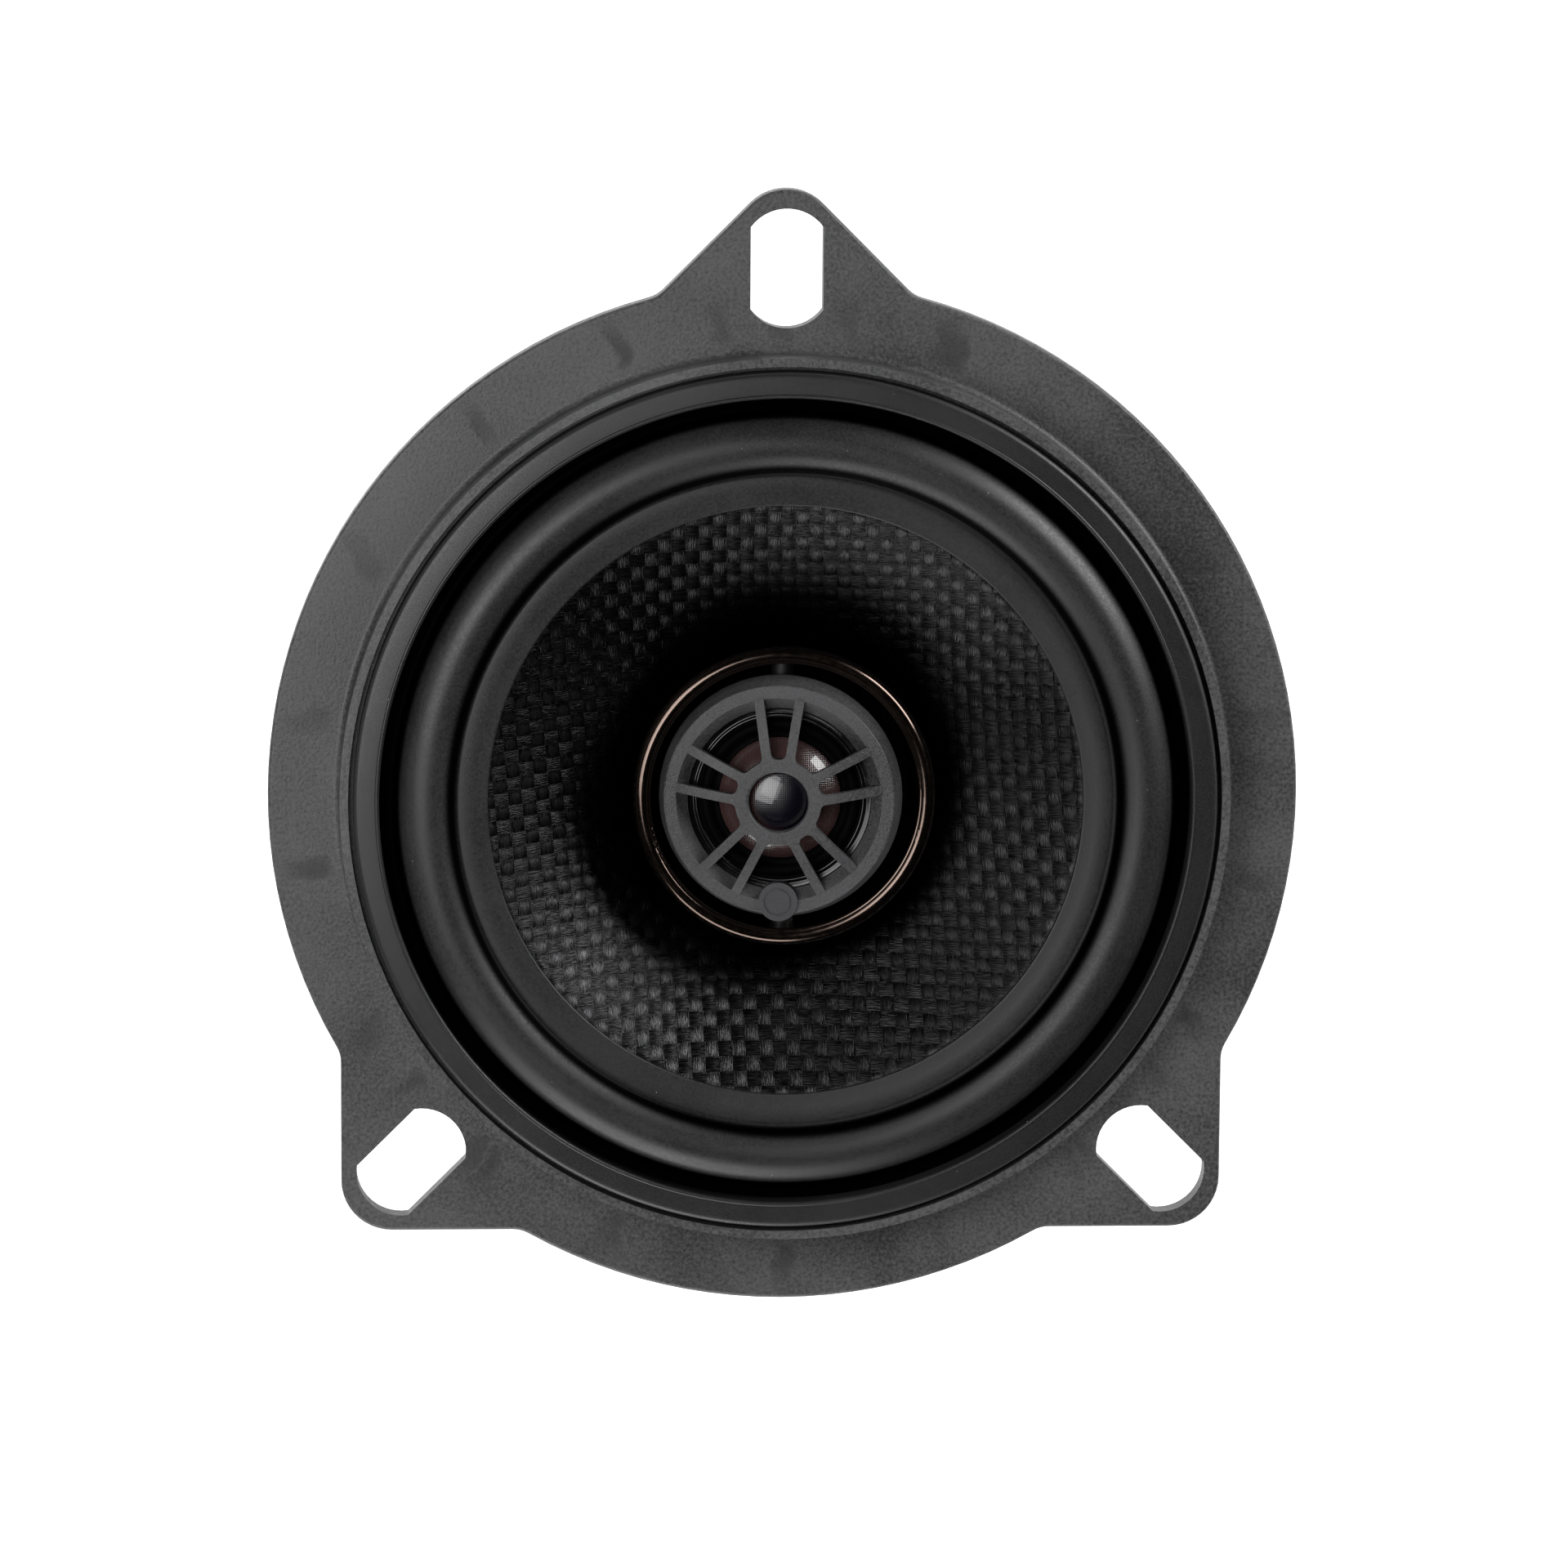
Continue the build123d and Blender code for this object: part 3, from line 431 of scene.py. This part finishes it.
def make_painted_crease_shade():
    """Painted shade mask: one on open faces, falling to zero in the creases at either side of the surround's roll,
    where shade is painted.
    """
    tree, given, out = effect(
        "Painted Crease Shade", [("Inner", FLOAT, 41.0 * MM), ("Outer", FLOAT, 48.7 * MM)], [("Open", FLOAT)]
    )
    radius = radius_and_angle(tree)[0]
    away = [maths(tree, "ABSOLUTE", maths(tree, "SUBTRACT", radius, given[k])) for k in (0, 1)]
    inner, outer = spread(tree, away[0], 0.0, 1.4 * MM), spread(tree, away[1], 0.9 * MM, 1.7 * MM)
    tree.links.new(maths(tree, "MULTIPLY", inner, outer), out["Open"])
    return tree


def make_turning():
    """Faint rings left by a lathe or a press, round the sound axis."""
    tree, given, out = effect("Turned Rings", [("Rings per Metre", FLOAT, 6000.0)], [("Rings", FLOAT)])
    radius, angle, height = radius_and_angle(tree)
    swirl = maths(tree, "MULTIPLY", angle, 0.0004)
    place = add(tree, "ShaderNodeCombineXYZ", {0: radius, 1: swirl, 2: height})
    rings = add(tree, "ShaderNodeTexNoise", {"Vector": place.outputs[0], "Scale": given[0], "Detail": 2.0})
    tree.links.new(rings.outputs[0], out["Rings"])
    return tree


def make_winding():
    """Round wire laid turn beside turn along the height of a coil."""
    tree, given, out = effect("Laid Turns", [("Turns per Metre", FLOAT, 5000.0)], [("Height", FLOAT)])
    height = add(tree, "ShaderNodeSeparateXYZ", {0: object_point(tree)}).outputs[2]
    wave = maths(tree, "SINE", maths(tree, "MULTIPLY", maths(tree, "MULTIPLY", height, given[0]), math.pi))
    tree.links.new(maths(tree, "ABSOLUTE", wave), out["Height"])
    return tree


EFFECTS = {}


def use(tree, name, inputs=None):
    """Places a shared effect in a material."""
    makers = {"Fine Grain": make_grain, "Settled Dust": make_dust, "Rib Sink Marks": make_sink_marks,
              "Plain Weave": make_weave, "Painted Crease Shade": make_painted_crease_shade, "Turned Rings": make_turning,
              "Laid Turns": make_winding}
    if name not in EFFECTS:
        EFFECTS[name] = makers[name]()
    placed = tree.nodes.new("ShaderNodeGroup")
    placed.node_tree = EFFECTS[name]
    for key, value in (inputs or {}).items():
        if isinstance(value, bpy.types.NodeSocket):
            tree.links.new(value, placed.inputs[key])
        else:
            placed.inputs[key].default_value = value
    return placed.outputs


def shade(tone, share):
    """A colour lightened or darkened by a share, with full alpha."""
    return (*(min(1.0, c * share) for c in tone), 1.0)


# ------------------------------------------------------------------ finishes
def blank(name, **shader_values):
    material = bpy.data.materials.new(name)
    material.use_nodes = True
    tree = material.node_tree
    shader = next(n for n in tree.nodes if n.type == "BSDF_PRINCIPLED")
    for key, value in shader_values.items():
        shader.inputs[key.replace("_", " ").title().replace("Ior", "IOR")].default_value = value
    return material, tree, shader


def bump(tree, shader, height, distance, strength=1.0):
    before = shader.inputs["Normal"].links
    inputs = {"Height": height, "Distance": distance * MM, "Strength": strength}
    if before:
        inputs["Normal"] = before[0].from_socket
    tree.links.new(add(tree, "ShaderNodeBump", inputs).outputs[0], shader.inputs["Normal"])


def grained(name, tone, rough, per_metre=4000.0, depth=0.03, contrast=0.25, dust=0.0, **shader_values):
    """A surface with fine grain: moulded plastic, cast ferrite, rubber, foam, plated or painted metal."""
    material, tree, shader = blank(name, **shader_values)
    grain = use(tree, "Fine Grain", {
        "Grains per Metre": per_metre, "Low Roughness": rough[0], "High Roughness": rough[1],
        "Low Colour": shade(tone, 1 - contrast), "High Colour": shade(tone, 1 + contrast)})
    tint = grain["Colour"]
    if dust:
        tint = mix(tree, use(tree, "Settled Dust", {"Size": dust})["Mask"], tint, DUST)
    tree.links.new(tint, shader.inputs["Base Color"])
    tree.links.new(grain["Roughness"], shader.inputs["Roughness"])
    bump(tree, shader, grain["Height"], depth)
    return material


def basket_plastic():
    """Satin moulded plastic with the marks that the ribs behind the flange leave on its face."""
    tone = colours().basket
    material, tree, shader = blank("Charcoal Moulded Plastic")
    grain = use(tree, "Fine Grain", {"Grains per Metre": 2300.0, "Low Colour": shade(tone, 0.45),
                                     "High Colour": shade(tone, 1.6), "Low Roughness": 0.34,
                                     "High Roughness": 0.60})
    marks = use(tree, "Rib Sink Marks")
    # the sink marks are partly real, dented by the bump and duller, and partly painted shade, darkened in colour
    dull = maths(tree, "MULTIPLY", marks["Mask"], 0.62)
    tree.links.new(mix(tree, dull, grain["Colour"], shade(tone, 0.22)), shader.inputs["Base Color"])
    tree.links.new(maths(tree, "ADD", grain["Roughness"], maths(tree, "MULTIPLY", dull, 0.18)),
                   shader.inputs["Roughness"])
    bump(tree, shader, grain["Height"], 0.075)
    bump(tree, shader, marks["Height"], 0.06)
    return material


def roll_rubber():
    """Satin rubber with settled dust; the two creases beside the roll are painted shade, pitch black and metallic
    so they reflect nothing.
    """
    tone = colours().rubber
    material, tree, shader = blank("Butyl Rubber")
    grain = use(tree, "Fine Grain", {"Grains per Metre": 2800.0, "Low Colour": shade(tone, 0.7),
                                     "High Colour": shade(tone, 1.35), "Low Roughness": 0.38,
                                     "High Roughness": 0.54})
    dusty = mix(tree, use(tree, "Settled Dust", {"Size": 0.055})["Mask"], grain["Colour"], DUST)
    outside_crease_shade = use(tree, "Painted Crease Shade")["Open"]
    # painted shade: the creases beside the roll go black, and metallic there removes their reflection too
    tree.links.new(mix(tree, outside_crease_shade, PAINTED_SHADE_BLACK, dusty), shader.inputs["Base Color"])
    tree.links.new(spread(tree, outside_crease_shade, 0.0, 1.0, 1.0, 0.0), shader.inputs["Metallic"])
    tree.links.new(grain["Roughness"], shader.inputs["Roughness"])
    bump(tree, shader, grain["Height"], 0.014)
    return material


def turned_steel(name, tone, rough, **shader_values):
    """Pressed or turned plated steel with faint rings."""
    material, tree, shader = blank(name, metallic=1.0, **shader_values)
    rings = use(tree, "Turned Rings")["Rings"]
    grain = use(tree, "Fine Grain", {"Grains per Metre": 900.0, "Low Colour": shade(tone, 0.82),
                                     "High Colour": shade(tone, 1.1), "Low Roughness": rough[0],
                                     "High Roughness": rough[1]})
    tree.links.new(grain["Colour"], shader.inputs["Base Color"])
    tree.links.new(grain["Roughness"], shader.inputs["Roughness"])
    bump(tree, shader, rings, 0.012)
    return material


def wound_copper():
    material, tree, shader = blank("Enamelled Copper", metallic=1.0, coat_weight=0.6)
    laid = use(tree, "Laid Turns")["Height"]
    # painted shade: the grooves between turns are painted dark brown, the crowns copper
    tree.links.new(mix(tree, laid, (0.16, 0.05, 0.02, 1), (0.72, 0.30, 0.14, 1)), shader.inputs["Base Color"])
    tree.links.new(spread(tree, laid, 0, 1, 0.55, 0.25), shader.inputs["Roughness"])
    bump(tree, shader, laid, 0.06)
    return material


def cloth(name, tone, pitch, relief, rough, fibre=0.02, **shader_values):
    """A small-scale weave laid flat over the piece, for the spider."""
    material, tree, shader = blank(name, **shader_values)
    weave = use(tree, "Plain Weave", {"Yarns": scaled(tree, object_point(tree), (1 / pitch,) * 3)})
    # painted shade: the hollows between yarns are painted darker than the crowns
    threads_and_hollow_shade = mix(tree, weave["Height"], shade(tone, 0.55), shade(tone, 1.2))
    tree.links.new(threads_and_hollow_shade, shader.inputs["Base Color"])
    tree.links.new(spread(tree, weave["Fibres"], 0.3, 0.7, *rough), shader.inputs["Roughness"])
    bump(tree, shader, weave["Height"], relief)
    bump(tree, shader, weave["Fibres"], fibre)
    return material


SILK_PITCH = 0.26 * MM
# inner and outer radius of the painted shade round the cone's neck
NECK_SHADE_IN, NECK_SHADE_OUT = 22 * MM, 26 * MM


def coated_silk():
    """Coated silk, painted near-black on the dome's crown and brown down its sides: painted shade on the crown,
    painted reflection on the sides.
    """
    tone = colours().silk
    material, tree, shader = blank("Coated Silk", coat_weight=0.8, coat_roughness=0.03)
    weave = use(tree, "Plain Weave", {"Yarns": scaled(tree, object_point(tree), (1 / SILK_PITCH,) * 3)})
    # painted light: the split by radius stands in for shade on the crown and reflection down the sides
    side = spread(tree, radius_and_angle(tree)[0], 3.2 * MM, 4.6 * MM)
    # painted shade: the hollows between yarns are painted darker than the crowns
    threads_and_hollow_shade = mix(tree, weave["Height"], shade(tone, 0.6), shade(tone, 1.2))
    tree.links.new(mix(tree, side, (0.002, 0.0015, 0.005, 1), threads_and_hollow_shade), shader.inputs["Base Color"])
    tree.links.new(spread(tree, weave["Fibres"], 0.3, 0.7, 0.12, 0.22), shader.inputs["Roughness"])
    bump(tree, shader, weave["Height"], 0.02)
    return material


def cone_cloth():
    """Black resin-coated glass cloth: the yarns are real ridges, and fine fibres run along each set. Round the
    neck the cloth is painted black as shade.
    """
    tone = colours().cloth
    material, tree, shader = blank("Woven Glass Cloth", metallic=1.0)
    yarns = add(tree, "ShaderNodeUVMap", uv_map="Yarns").outputs[0]
    weave = use(tree, "Plain Weave", {"Yarns": yarns})
    cloud = noise(tree, object_point(tree), 60.0, 3.0).outputs[0]
    # painted shade: inside a ragged radius round the neck the cloth goes black
    neck_shade_edge = maths(tree, "ADD", radius_and_angle(tree)[0], maths(tree, "MULTIPLY", cloud, 3 * MM))
    outside_neck_shade = spread(tree, neck_shade_edge, NECK_SHADE_IN, NECK_SHADE_OUT)
    # painted light and shade: the warp set is painted brighter than the weft, as the light catches one set and
    # misses the other
    painted_set_tones = mix(tree, weave["Warp"], shade(tone, 0.35), shade(tone, 1.3))
    # painted shade: the hollows between yarn crowns are painted dark, so only the crowns shine
    crowns = mix(tree, spread(tree, weave["Height"], 0.55, 0.9), shade(tone, 0.22), painted_set_tones)
    fibres = mix(tree, spread(tree, weave["Fibres"], 0.35, 0.7), crowns, shade(tone, 1.1))
    tree.links.new(mix(tree, outside_neck_shade, PAINTED_SHADE_BLACK, fibres), shader.inputs["Base Color"])
    rough = maths(tree, "ADD", spread(tree, weave["Fibres"], 0.3, 0.7, 0.30, 0.40),
                  spread(tree, cloud, 0.35, 0.65, -0.03, 0.06))
    tree.links.new(rough, shader.inputs["Roughness"])
    bump(tree, shader, weave["Height"], 0.05)
    bump(tree, shader, weave["Fibres"], 0.09)
    return material


def finishes():
    """One finish for each of the record's material slots."""
    tint = colours()
    zinc, black = tint.zinc, (0.012, 0.012, 0.013)
    copper = wound_copper()
    return {
        "basket_plastic": basket_plastic(),
        "front_gasket": grained("Gasket Rubber", tint.rubber, (0.34, 0.50), 5200, 0.012, 0.25, 0.06),
        "foam": grained("Open-cell Foam", (0.030, 0.030, 0.032), (0.85, 0.98), 2600, 0.30, 0.5),
        "plated_steel": turned_steel("Plated Motor Steel", zinc, (0.24, 0.42)),
        "ferrite": grained("Cast Ferrite", tint.ferrite, (0.48, 0.72), 1500, 0.05, 0.35),
        "screw_steel": grained("Screw Steel", zinc, (0.22, 0.38), 3000, 0.01, 0.15, metallic=1.0),
        "board": grained("Phenolic Board", (0.15, 0.085, 0.04), (0.35, 0.50), 2500, 0.015, 0.35),
        "brass_tab": grained("Tinned Brass", (0.62, 0.58, 0.50), (0.22, 0.38), 1800, 0.01, 0.15,
                             metallic=1.0),
        "rivet_brass": grained("Rivet Brass", (0.70, 0.52, 0.24), (0.24, 0.40), 2600, 0.01, 0.15,
                               metallic=1.0),
        "capacitor_sleeve": grained("Shrink Sleeve", (0.012, 0.020, 0.060), (0.20, 0.32), 1400, 0.03, 0.2),
        "adhesive": grained("Hot-melt", (0.62, 0.56, 0.40), (0.25, 0.4), 700, 0.1, 0.1),
        "wire_black": grained("Black Wire Sleeve", black, (0.28, 0.42), 3500, 0.01, 0.2),
        "wire_grey": grained("Grey Wire Sleeve", (0.16, 0.16, 0.17), (0.28, 0.42), 3500, 0.01, 0.2),
        "bare_lead": grained("Tinned Lead", (0.62, 0.62, 0.62), (0.2, 0.35), 3000, 0.01, 0.2, metallic=1.0),
        "post_plastic": grained("Post Plastic", (0.02, 0.02, 0.021), (0.40, 0.55), 3500, 0.02, 0.25),
        "surround_rubber": roll_rubber(),
        "cone_cloth": cone_cloth(),
        "spider_cloth": cloth("Dipped Cotton", (0.62, 0.46, 0.20), 0.55 * MM, 0.10, (0.6, 0.8)),
        "former": turned_steel("Foil Former", (0.66, 0.66, 0.68), (0.25, 0.4)),
        "copper": copper,
        "braid": grained("Tinsel Braid", (0.62, 0.42, 0.26), (0.3, 0.5), 2600, 0.12, 0.5, metallic=1.0),
        "cup_nickel": grained("Black Nickel", tint.nickel, (0.12, 0.20), 1200, 0.002, 0.12, metallic=1.0),
        # painted shade: the pins, and the friction rings with them, are set near-black so they read as the shade
        # in the gap between cup and pod
        "pin_steel": grained("Pin Steel Painted Gap Black", (0.004, 0.004, 0.004), (0.5, 0.6), 2600, 0.01, 0.15),
        "friction_rubber": grained("Friction Rubber", (0.004, 0.004, 0.004), (0.6, 0.8), 3000, 0.03, 0.2),
        "pod_plastic": grained("Pod Plastic", tint.pod, (0.36, 0.60), 3400, 0.07, 0.55),
        "badge": grained("Polished Disc", (0.040, 0.040, 0.043), (0.26, 0.36), 6000, 0.008, 0.2),
        "face_gloss": grained("Gloss Black", (0.004, 0.004, 0.0045), (0.14, 0.24), 1500, 0.004, 0.2),
        "dome_roll": grained("Treated Silk Roll", (0.0015, 0.0015, 0.0015), (0.45, 0.6), 5000, 0.01, 0.3,
                             specular_ior_level=0.02),
        "pot_steel": turned_steel("Pot Steel", (0.36, 0.36, 0.38), (0.3, 0.45)),
        "neodymium": grained("Nickel Plate", (0.6, 0.6, 0.6), (0.14, 0.24), 1500, 0.01, 0.1, metallic=1.0),
        "silk": coated_silk(),
    }


FINISH = {}


# ------------------------------------------------------------------ operators
class SPEAKER_OT_finish_frame(bpy.types.Operator):
    """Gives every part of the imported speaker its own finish"""

    bl_idname = "speaker.finish_frame"
    bl_label = "Finish the Parts"

    def execute(self, context):
        FINISH.update(finishes())
        for name, part in frame["nodes"].items():
            wear(part, FINISH[SLOT_OF[name]])
        return {"FINISHED"}


class SPEAKER_OT_woven_cone(bpy.types.Operator):
    """Turns the cone and raises every yarn of its cloth"""

    bl_idname = "speaker.woven_cone"
    bl_label = "Woven Cone"

    def execute(self, context):
        neck, rim, edge = (12.95, -9.05), (36.3, 7.6), (39.3, 8.27)
        profile = along(neck, rim, 84) + along(rim, edge, 4)[1:]
        cone = turn("woven_cone", profile, sizes().cone_steps, closed=False)
        self.raise_yarns(cone)
        modify(cone, "SOLIDIFY", thickness=0.5 * MM, offset=-1.0)
        wear(cone, FINISH["cone_cloth"])
        fit(cone, "cone_assembly", "cone")
        return {"FINISHED"}

    def raise_yarns(self, cone):
        """Counts yarns over the plan of the cone, skewed a little as cloth is when it is pressed."""
        mesh, co = cone.data, points_of(cone)
        pitch = sizes().weave_pitch
        x, y = co[:, 0] / pitch, co[:, 1] / pitch
        u = x + 0.055 * y + 0.30 * np.sin(y / 9.0)
        v = y - 0.03 * x + 0.28 * np.sin(x / 8.0)
        su, sv = np.sin(np.pi * u), np.sin(np.pi * v)
        warp = np.sign(su) * sv + np.abs(su)
        weft = np.abs(sv) - np.sign(sv) * su
        lift = np.maximum(warp, weft) * 0.5 * sizes().yarn_rise
        normals = np.empty(len(co) * 3)
        mesh.vertices.foreach_get("normal", normals)
        normals = normals.reshape(-1, 3)
        if normals[:, 2].mean() < 0:
            mesh.flip_normals()
            normals = -normals
        mesh.vertices.foreach_set("co", (co + normals * lift[:, None]).ravel())
        layer = mesh.uv_layers.new(name="Yarns")
        corner = np.empty(len(mesh.loops), int)
        mesh.loops.foreach_get("vertex_index", corner)
        layer.data.foreach_set("uv", np.stack([u, v], 1)[corner].ravel())
        mesh.update()


class SPEAKER_OT_rubber_surround(bpy.types.Operator):
    """Turns the rubber roll with its foot on the ledge and its flap on the cone"""

    bl_idname = "speaker.rubber_surround"
    bl_label = "Rubber Surround"

    def execute(self, context):
        front = section(
            (53.0, 6.3), (53.0, 7.1), (48.9, 7.1), ((48.1, 7.2), (47.75, 7.75), 6),
            ((47.25, 9.3), (46.0, 10.45), 8), ((44.15, 11.0), (42.3, 10.5), 14),
            ((41.25, 9.7), (40.75, 9.0), 7), ((40.45, 8.78), (39.9, 8.76), 5), (38.2, 8.47),
            (36.8, 8.12), ((36.58, 8.05), (36.5, 7.88), 4),
        )
        back = section(
            (36.5, 7.66), (39.35, 8.3), (40.3, 8.05), ((41.2, 8.35), (41.75, 9.1), 6),
            ((42.6, 9.8), (44.15, 10.2), 8), ((45.8, 9.7), (46.7, 8.6), 8), ((47.1, 7.4), (47.4, 6.3), 5),
        )
        piece = turn("rubber_surround", front + back, sizes().ring_steps)
        wear(piece, FINISH["surround_rubber"])
        stretch(piece, "surround")
        return {"FINISHED"}


class SPEAKER_OT_front_gasket(bpy.types.Operator):
    """Turns the gasket ring with its rolled outer edge and a fine bead along the inner one"""

    bl_idname = "speaker.front_gasket"
    bl_label = "Front Gasket"

    def execute(self, context):
        profile = section(
            (49.8, 7.1), (53.0, 7.1), (53.0, 9.05), ((52.85, 9.45), (52.35, 9.7), 6), (52.1, 9.74),
            (50.35, 9.78), ((50.15, 9.92), (49.95, 9.82), 5), ((49.82, 9.7), (49.8, 9.5), 3),
        )
        piece = turn("front_gasket", profile, sizes().ring_steps)
        wear(piece, FINISH["front_gasket"])
        fit(piece, "frame", "front_gasket_ring")
        return {"FINISHED"}


class SPEAKER_OT_bending_cloth(bpy.types.Operator):
    """Puts smoothed copies of the spider and the two braided leads, in their finishes, in place of their nodes"""

    bl_idname = "speaker.bending_cloth"
    bl_label = "Spider and Leads"

    def execute(self, context):
        spider = wear(copy_of("spider", "dipped_spider"), FINISH["spider_cloth"])
        stretch(spider, "spider")
        for end, side in (("positive", "right"), ("negative", "left")):
            node = f"tinsel_lead_{end}"
            lead = wear(copy_of(node, f"braided_lead_{side}"), FINISH["braid"])
            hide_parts(node)
            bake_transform(lead)
        return {"FINISHED"}


class SPEAKER_OT_tweeter_face(bpy.types.Operator):
    """Turns the gloss face ring, the silk dome and the dome's own small roll"""

    bl_idname = "speaker.tweeter_face"
    bl_label = "Tweeter Face"

    def execute(self, context):
        steps = sizes().small_steps
        ring = turn("gloss_face_ring", section(
            (10.1, 4.62), (11.2, 4.62), (11.2, 4.98), (10.85, 4.9), ((10.65, 4.84), (10.5, 4.95), 4),
            ((10.3, 5.08), (10.12, 4.92), 5),
        ), steps)
        ring.data.transform(LEAN)
        wear(ring, FINISH["face_gloss"])
        fit(ring, "tweeter_pod", "clamp_ring")
        dome = turn("silk_dome", section(
            (0.0, 7.7), ((4.0, 6.92), (7.5, 4.6), 30), (7.5, 4.3), (7.3, 4.32), ((3.9, 6.6), (0.0, 7.4), 22),
        ), steps)
        dome.data.transform(LEAN)
        wear(dome, FINISH["silk"])
        fit(dome, "tweeter_diaphragm", "silk_dome")
        roll = turn("dome_roll", section(
            (7.5, 4.3), (7.5, 4.62), ((7.95, 4.46), (8.4, 4.62), 6), ((9.1, 5.2), (9.85, 4.6), 12),
            (11.1, 4.6), (11.1, 4.3), (9.75, 4.3), ((9.1, 4.85), (8.5, 4.35), 10),
            ((8.0, 4.18), (7.7, 4.3), 4),
        ), steps)
        roll.data.transform(LEAN)
        wear(roll, FINISH["dome_roll"])
        middle = LEAN @ Vector((0, 0, 4.6 * MM))
        stretch(roll, "dome_surround", tuple(middle))
        return {"FINISHED"}


class SPEAKER_OT_stage(bpy.types.Operator):
    """Sets the pale floor, the softboxes and the camera"""

    bl_idname = "speaker.stage"
    bl_label = "Stage"

    def execute(self, context):
        self.floor(context)
        settings = context.scene.speaker_stage
        aim = Vector((0, settings.aim_up, FLANGE_FRONT))
        self.softbox("Left Softbox", aim, 32, 162, 240 * MM, 170 * MM, settings.left)
        self.softbox("Overhead Softbox", aim, 20, 158, 600 * MM, 250 * MM, settings.overhead)
        self.softbox("Upper Right Softbox", aim, 70, 34, 400 * MM, 200 * MM, settings.right)
        self.softbox("Lower Left Softbox", aim, 72, 254, 400 * MM, 300 * MM, settings.low)
        self.sky(context, settings.sky)
        self.camera(context, settings, aim)
        context.scene.view_settings.view_transform = "Standard"
        return {"FINISHED"}

    def floor(self, context):
        deselect()
        bpy.ops.mesh.primitive_plane_add(size=8.0, location=(0, 0, FLOOR_Z))
        floor = named(context.object, "studio_floor")
        material = grained("Studio Paper", (0.86, 0.86, 0.86), (0.8, 0.9), 900, 0.02, 0.004,
                           emission_color=(1, 1, 1, 1), emission_strength=0.95)
        wear(floor, material)

    def softbox(self, name, aim, tip, turn, distance, size, watts):
        """A square light tipped that many degrees off the sound axis, at that turn round it."""
        deselect()
        tip, turn = math.radians(tip), math.radians(turn)
        way = Vector((math.sin(tip) * math.cos(turn), math.sin(tip) * math.sin(turn), math.cos(tip)))
        bpy.ops.object.light_add(type="AREA", location=aim + way * distance)
        lamp = bpy.context.object
        lamp.name = name
        lamp.data.shape = "SQUARE"
        lamp.data.size = size
        lamp.data.energy = watts
        lamp.rotation_euler = (-way).to_track_quat("-Z", "Y").to_euler()

    def sky(self, context, strength):
        world = bpy.data.worlds.new("Even Sky")
        world.use_nodes = True
        background = world.node_tree.nodes["Background"]
        background.inputs["Color"].default_value = (1, 1, 1, 1)
        background.inputs["Strength"].default_value = strength
        context.scene.world = world

    def camera(self, context, settings, aim):
        deselect()
        way = Vector((-math.tan(settings.tilt_left), math.tan(settings.tilt_up), 1)).normalized()
        bpy.ops.object.camera_add(location=aim + way * settings.distance)
        camera = context.object
        camera.name = "Front Camera"
        right = Vector((0, 1, 0)).cross(way).normalized()
        turned = Matrix((right, way.cross(right), way)).transposed().to_4x4()
        rolled = turned @ Matrix.Rotation(settings.roll, 4, "Z")
        camera.matrix_world = Matrix.Translation(camera.location) @ rolled
        camera.data.lens = camera.data.sensor_width * settings.distance / settings.view_width
        camera.data.clip_start = 10 * MM
        context.scene.camera = camera


class SPEAKER_PT_sidebar(bpy.types.Panel):
    """Lists the pieces in the order they are made"""

    bl_label = "Coaxial Speaker"
    bl_space_type = "VIEW_3D"
    bl_region_type = "UI"
    bl_category = "Speaker"

    def draw(self, context):
        for group_name, _ in GROUPS:
            group = getattr(context.scene, group_name)
            box = self.layout.box()
            for name in group.__annotations__:
                box.prop(group, name)
        for operator in OPERATORS:
            self.layout.operator(operator.bl_idname)


OPERATORS = (
    SPEAKER_OT_finish_frame,
    SPEAKER_OT_woven_cone,
    SPEAKER_OT_rubber_surround,
    SPEAKER_OT_front_gasket,
    SPEAKER_OT_bending_cloth,
    SPEAKER_OT_tweeter_face,
    SPEAKER_OT_stage,
)
GROUPS = (
    ("speaker_sizes", SpeakerSizes),
    ("speaker_colours", SpeakerColours),
    ("speaker_stage", SpeakerStage),
)


def register():
    for name, group in GROUPS:
        bpy.utils.register_class(group)
        setattr(bpy.types.Scene, name, PointerProperty(type=group))
    for made in (*OPERATORS, SPEAKER_PT_sidebar):
        bpy.utils.register_class(made)


def unregister():
    for made in (SPEAKER_PT_sidebar, *reversed(OPERATORS)):
        bpy.utils.unregister_class(made)
    for name, group in reversed(GROUPS):
        delattr(bpy.types.Scene, name)
        bpy.utils.unregister_class(group)


def main():
    register()
    for operator in OPERATORS:
        getattr(bpy.ops.speaker, operator.bl_idname.split(".")[1])()


if __name__ == "__main__":
    main()
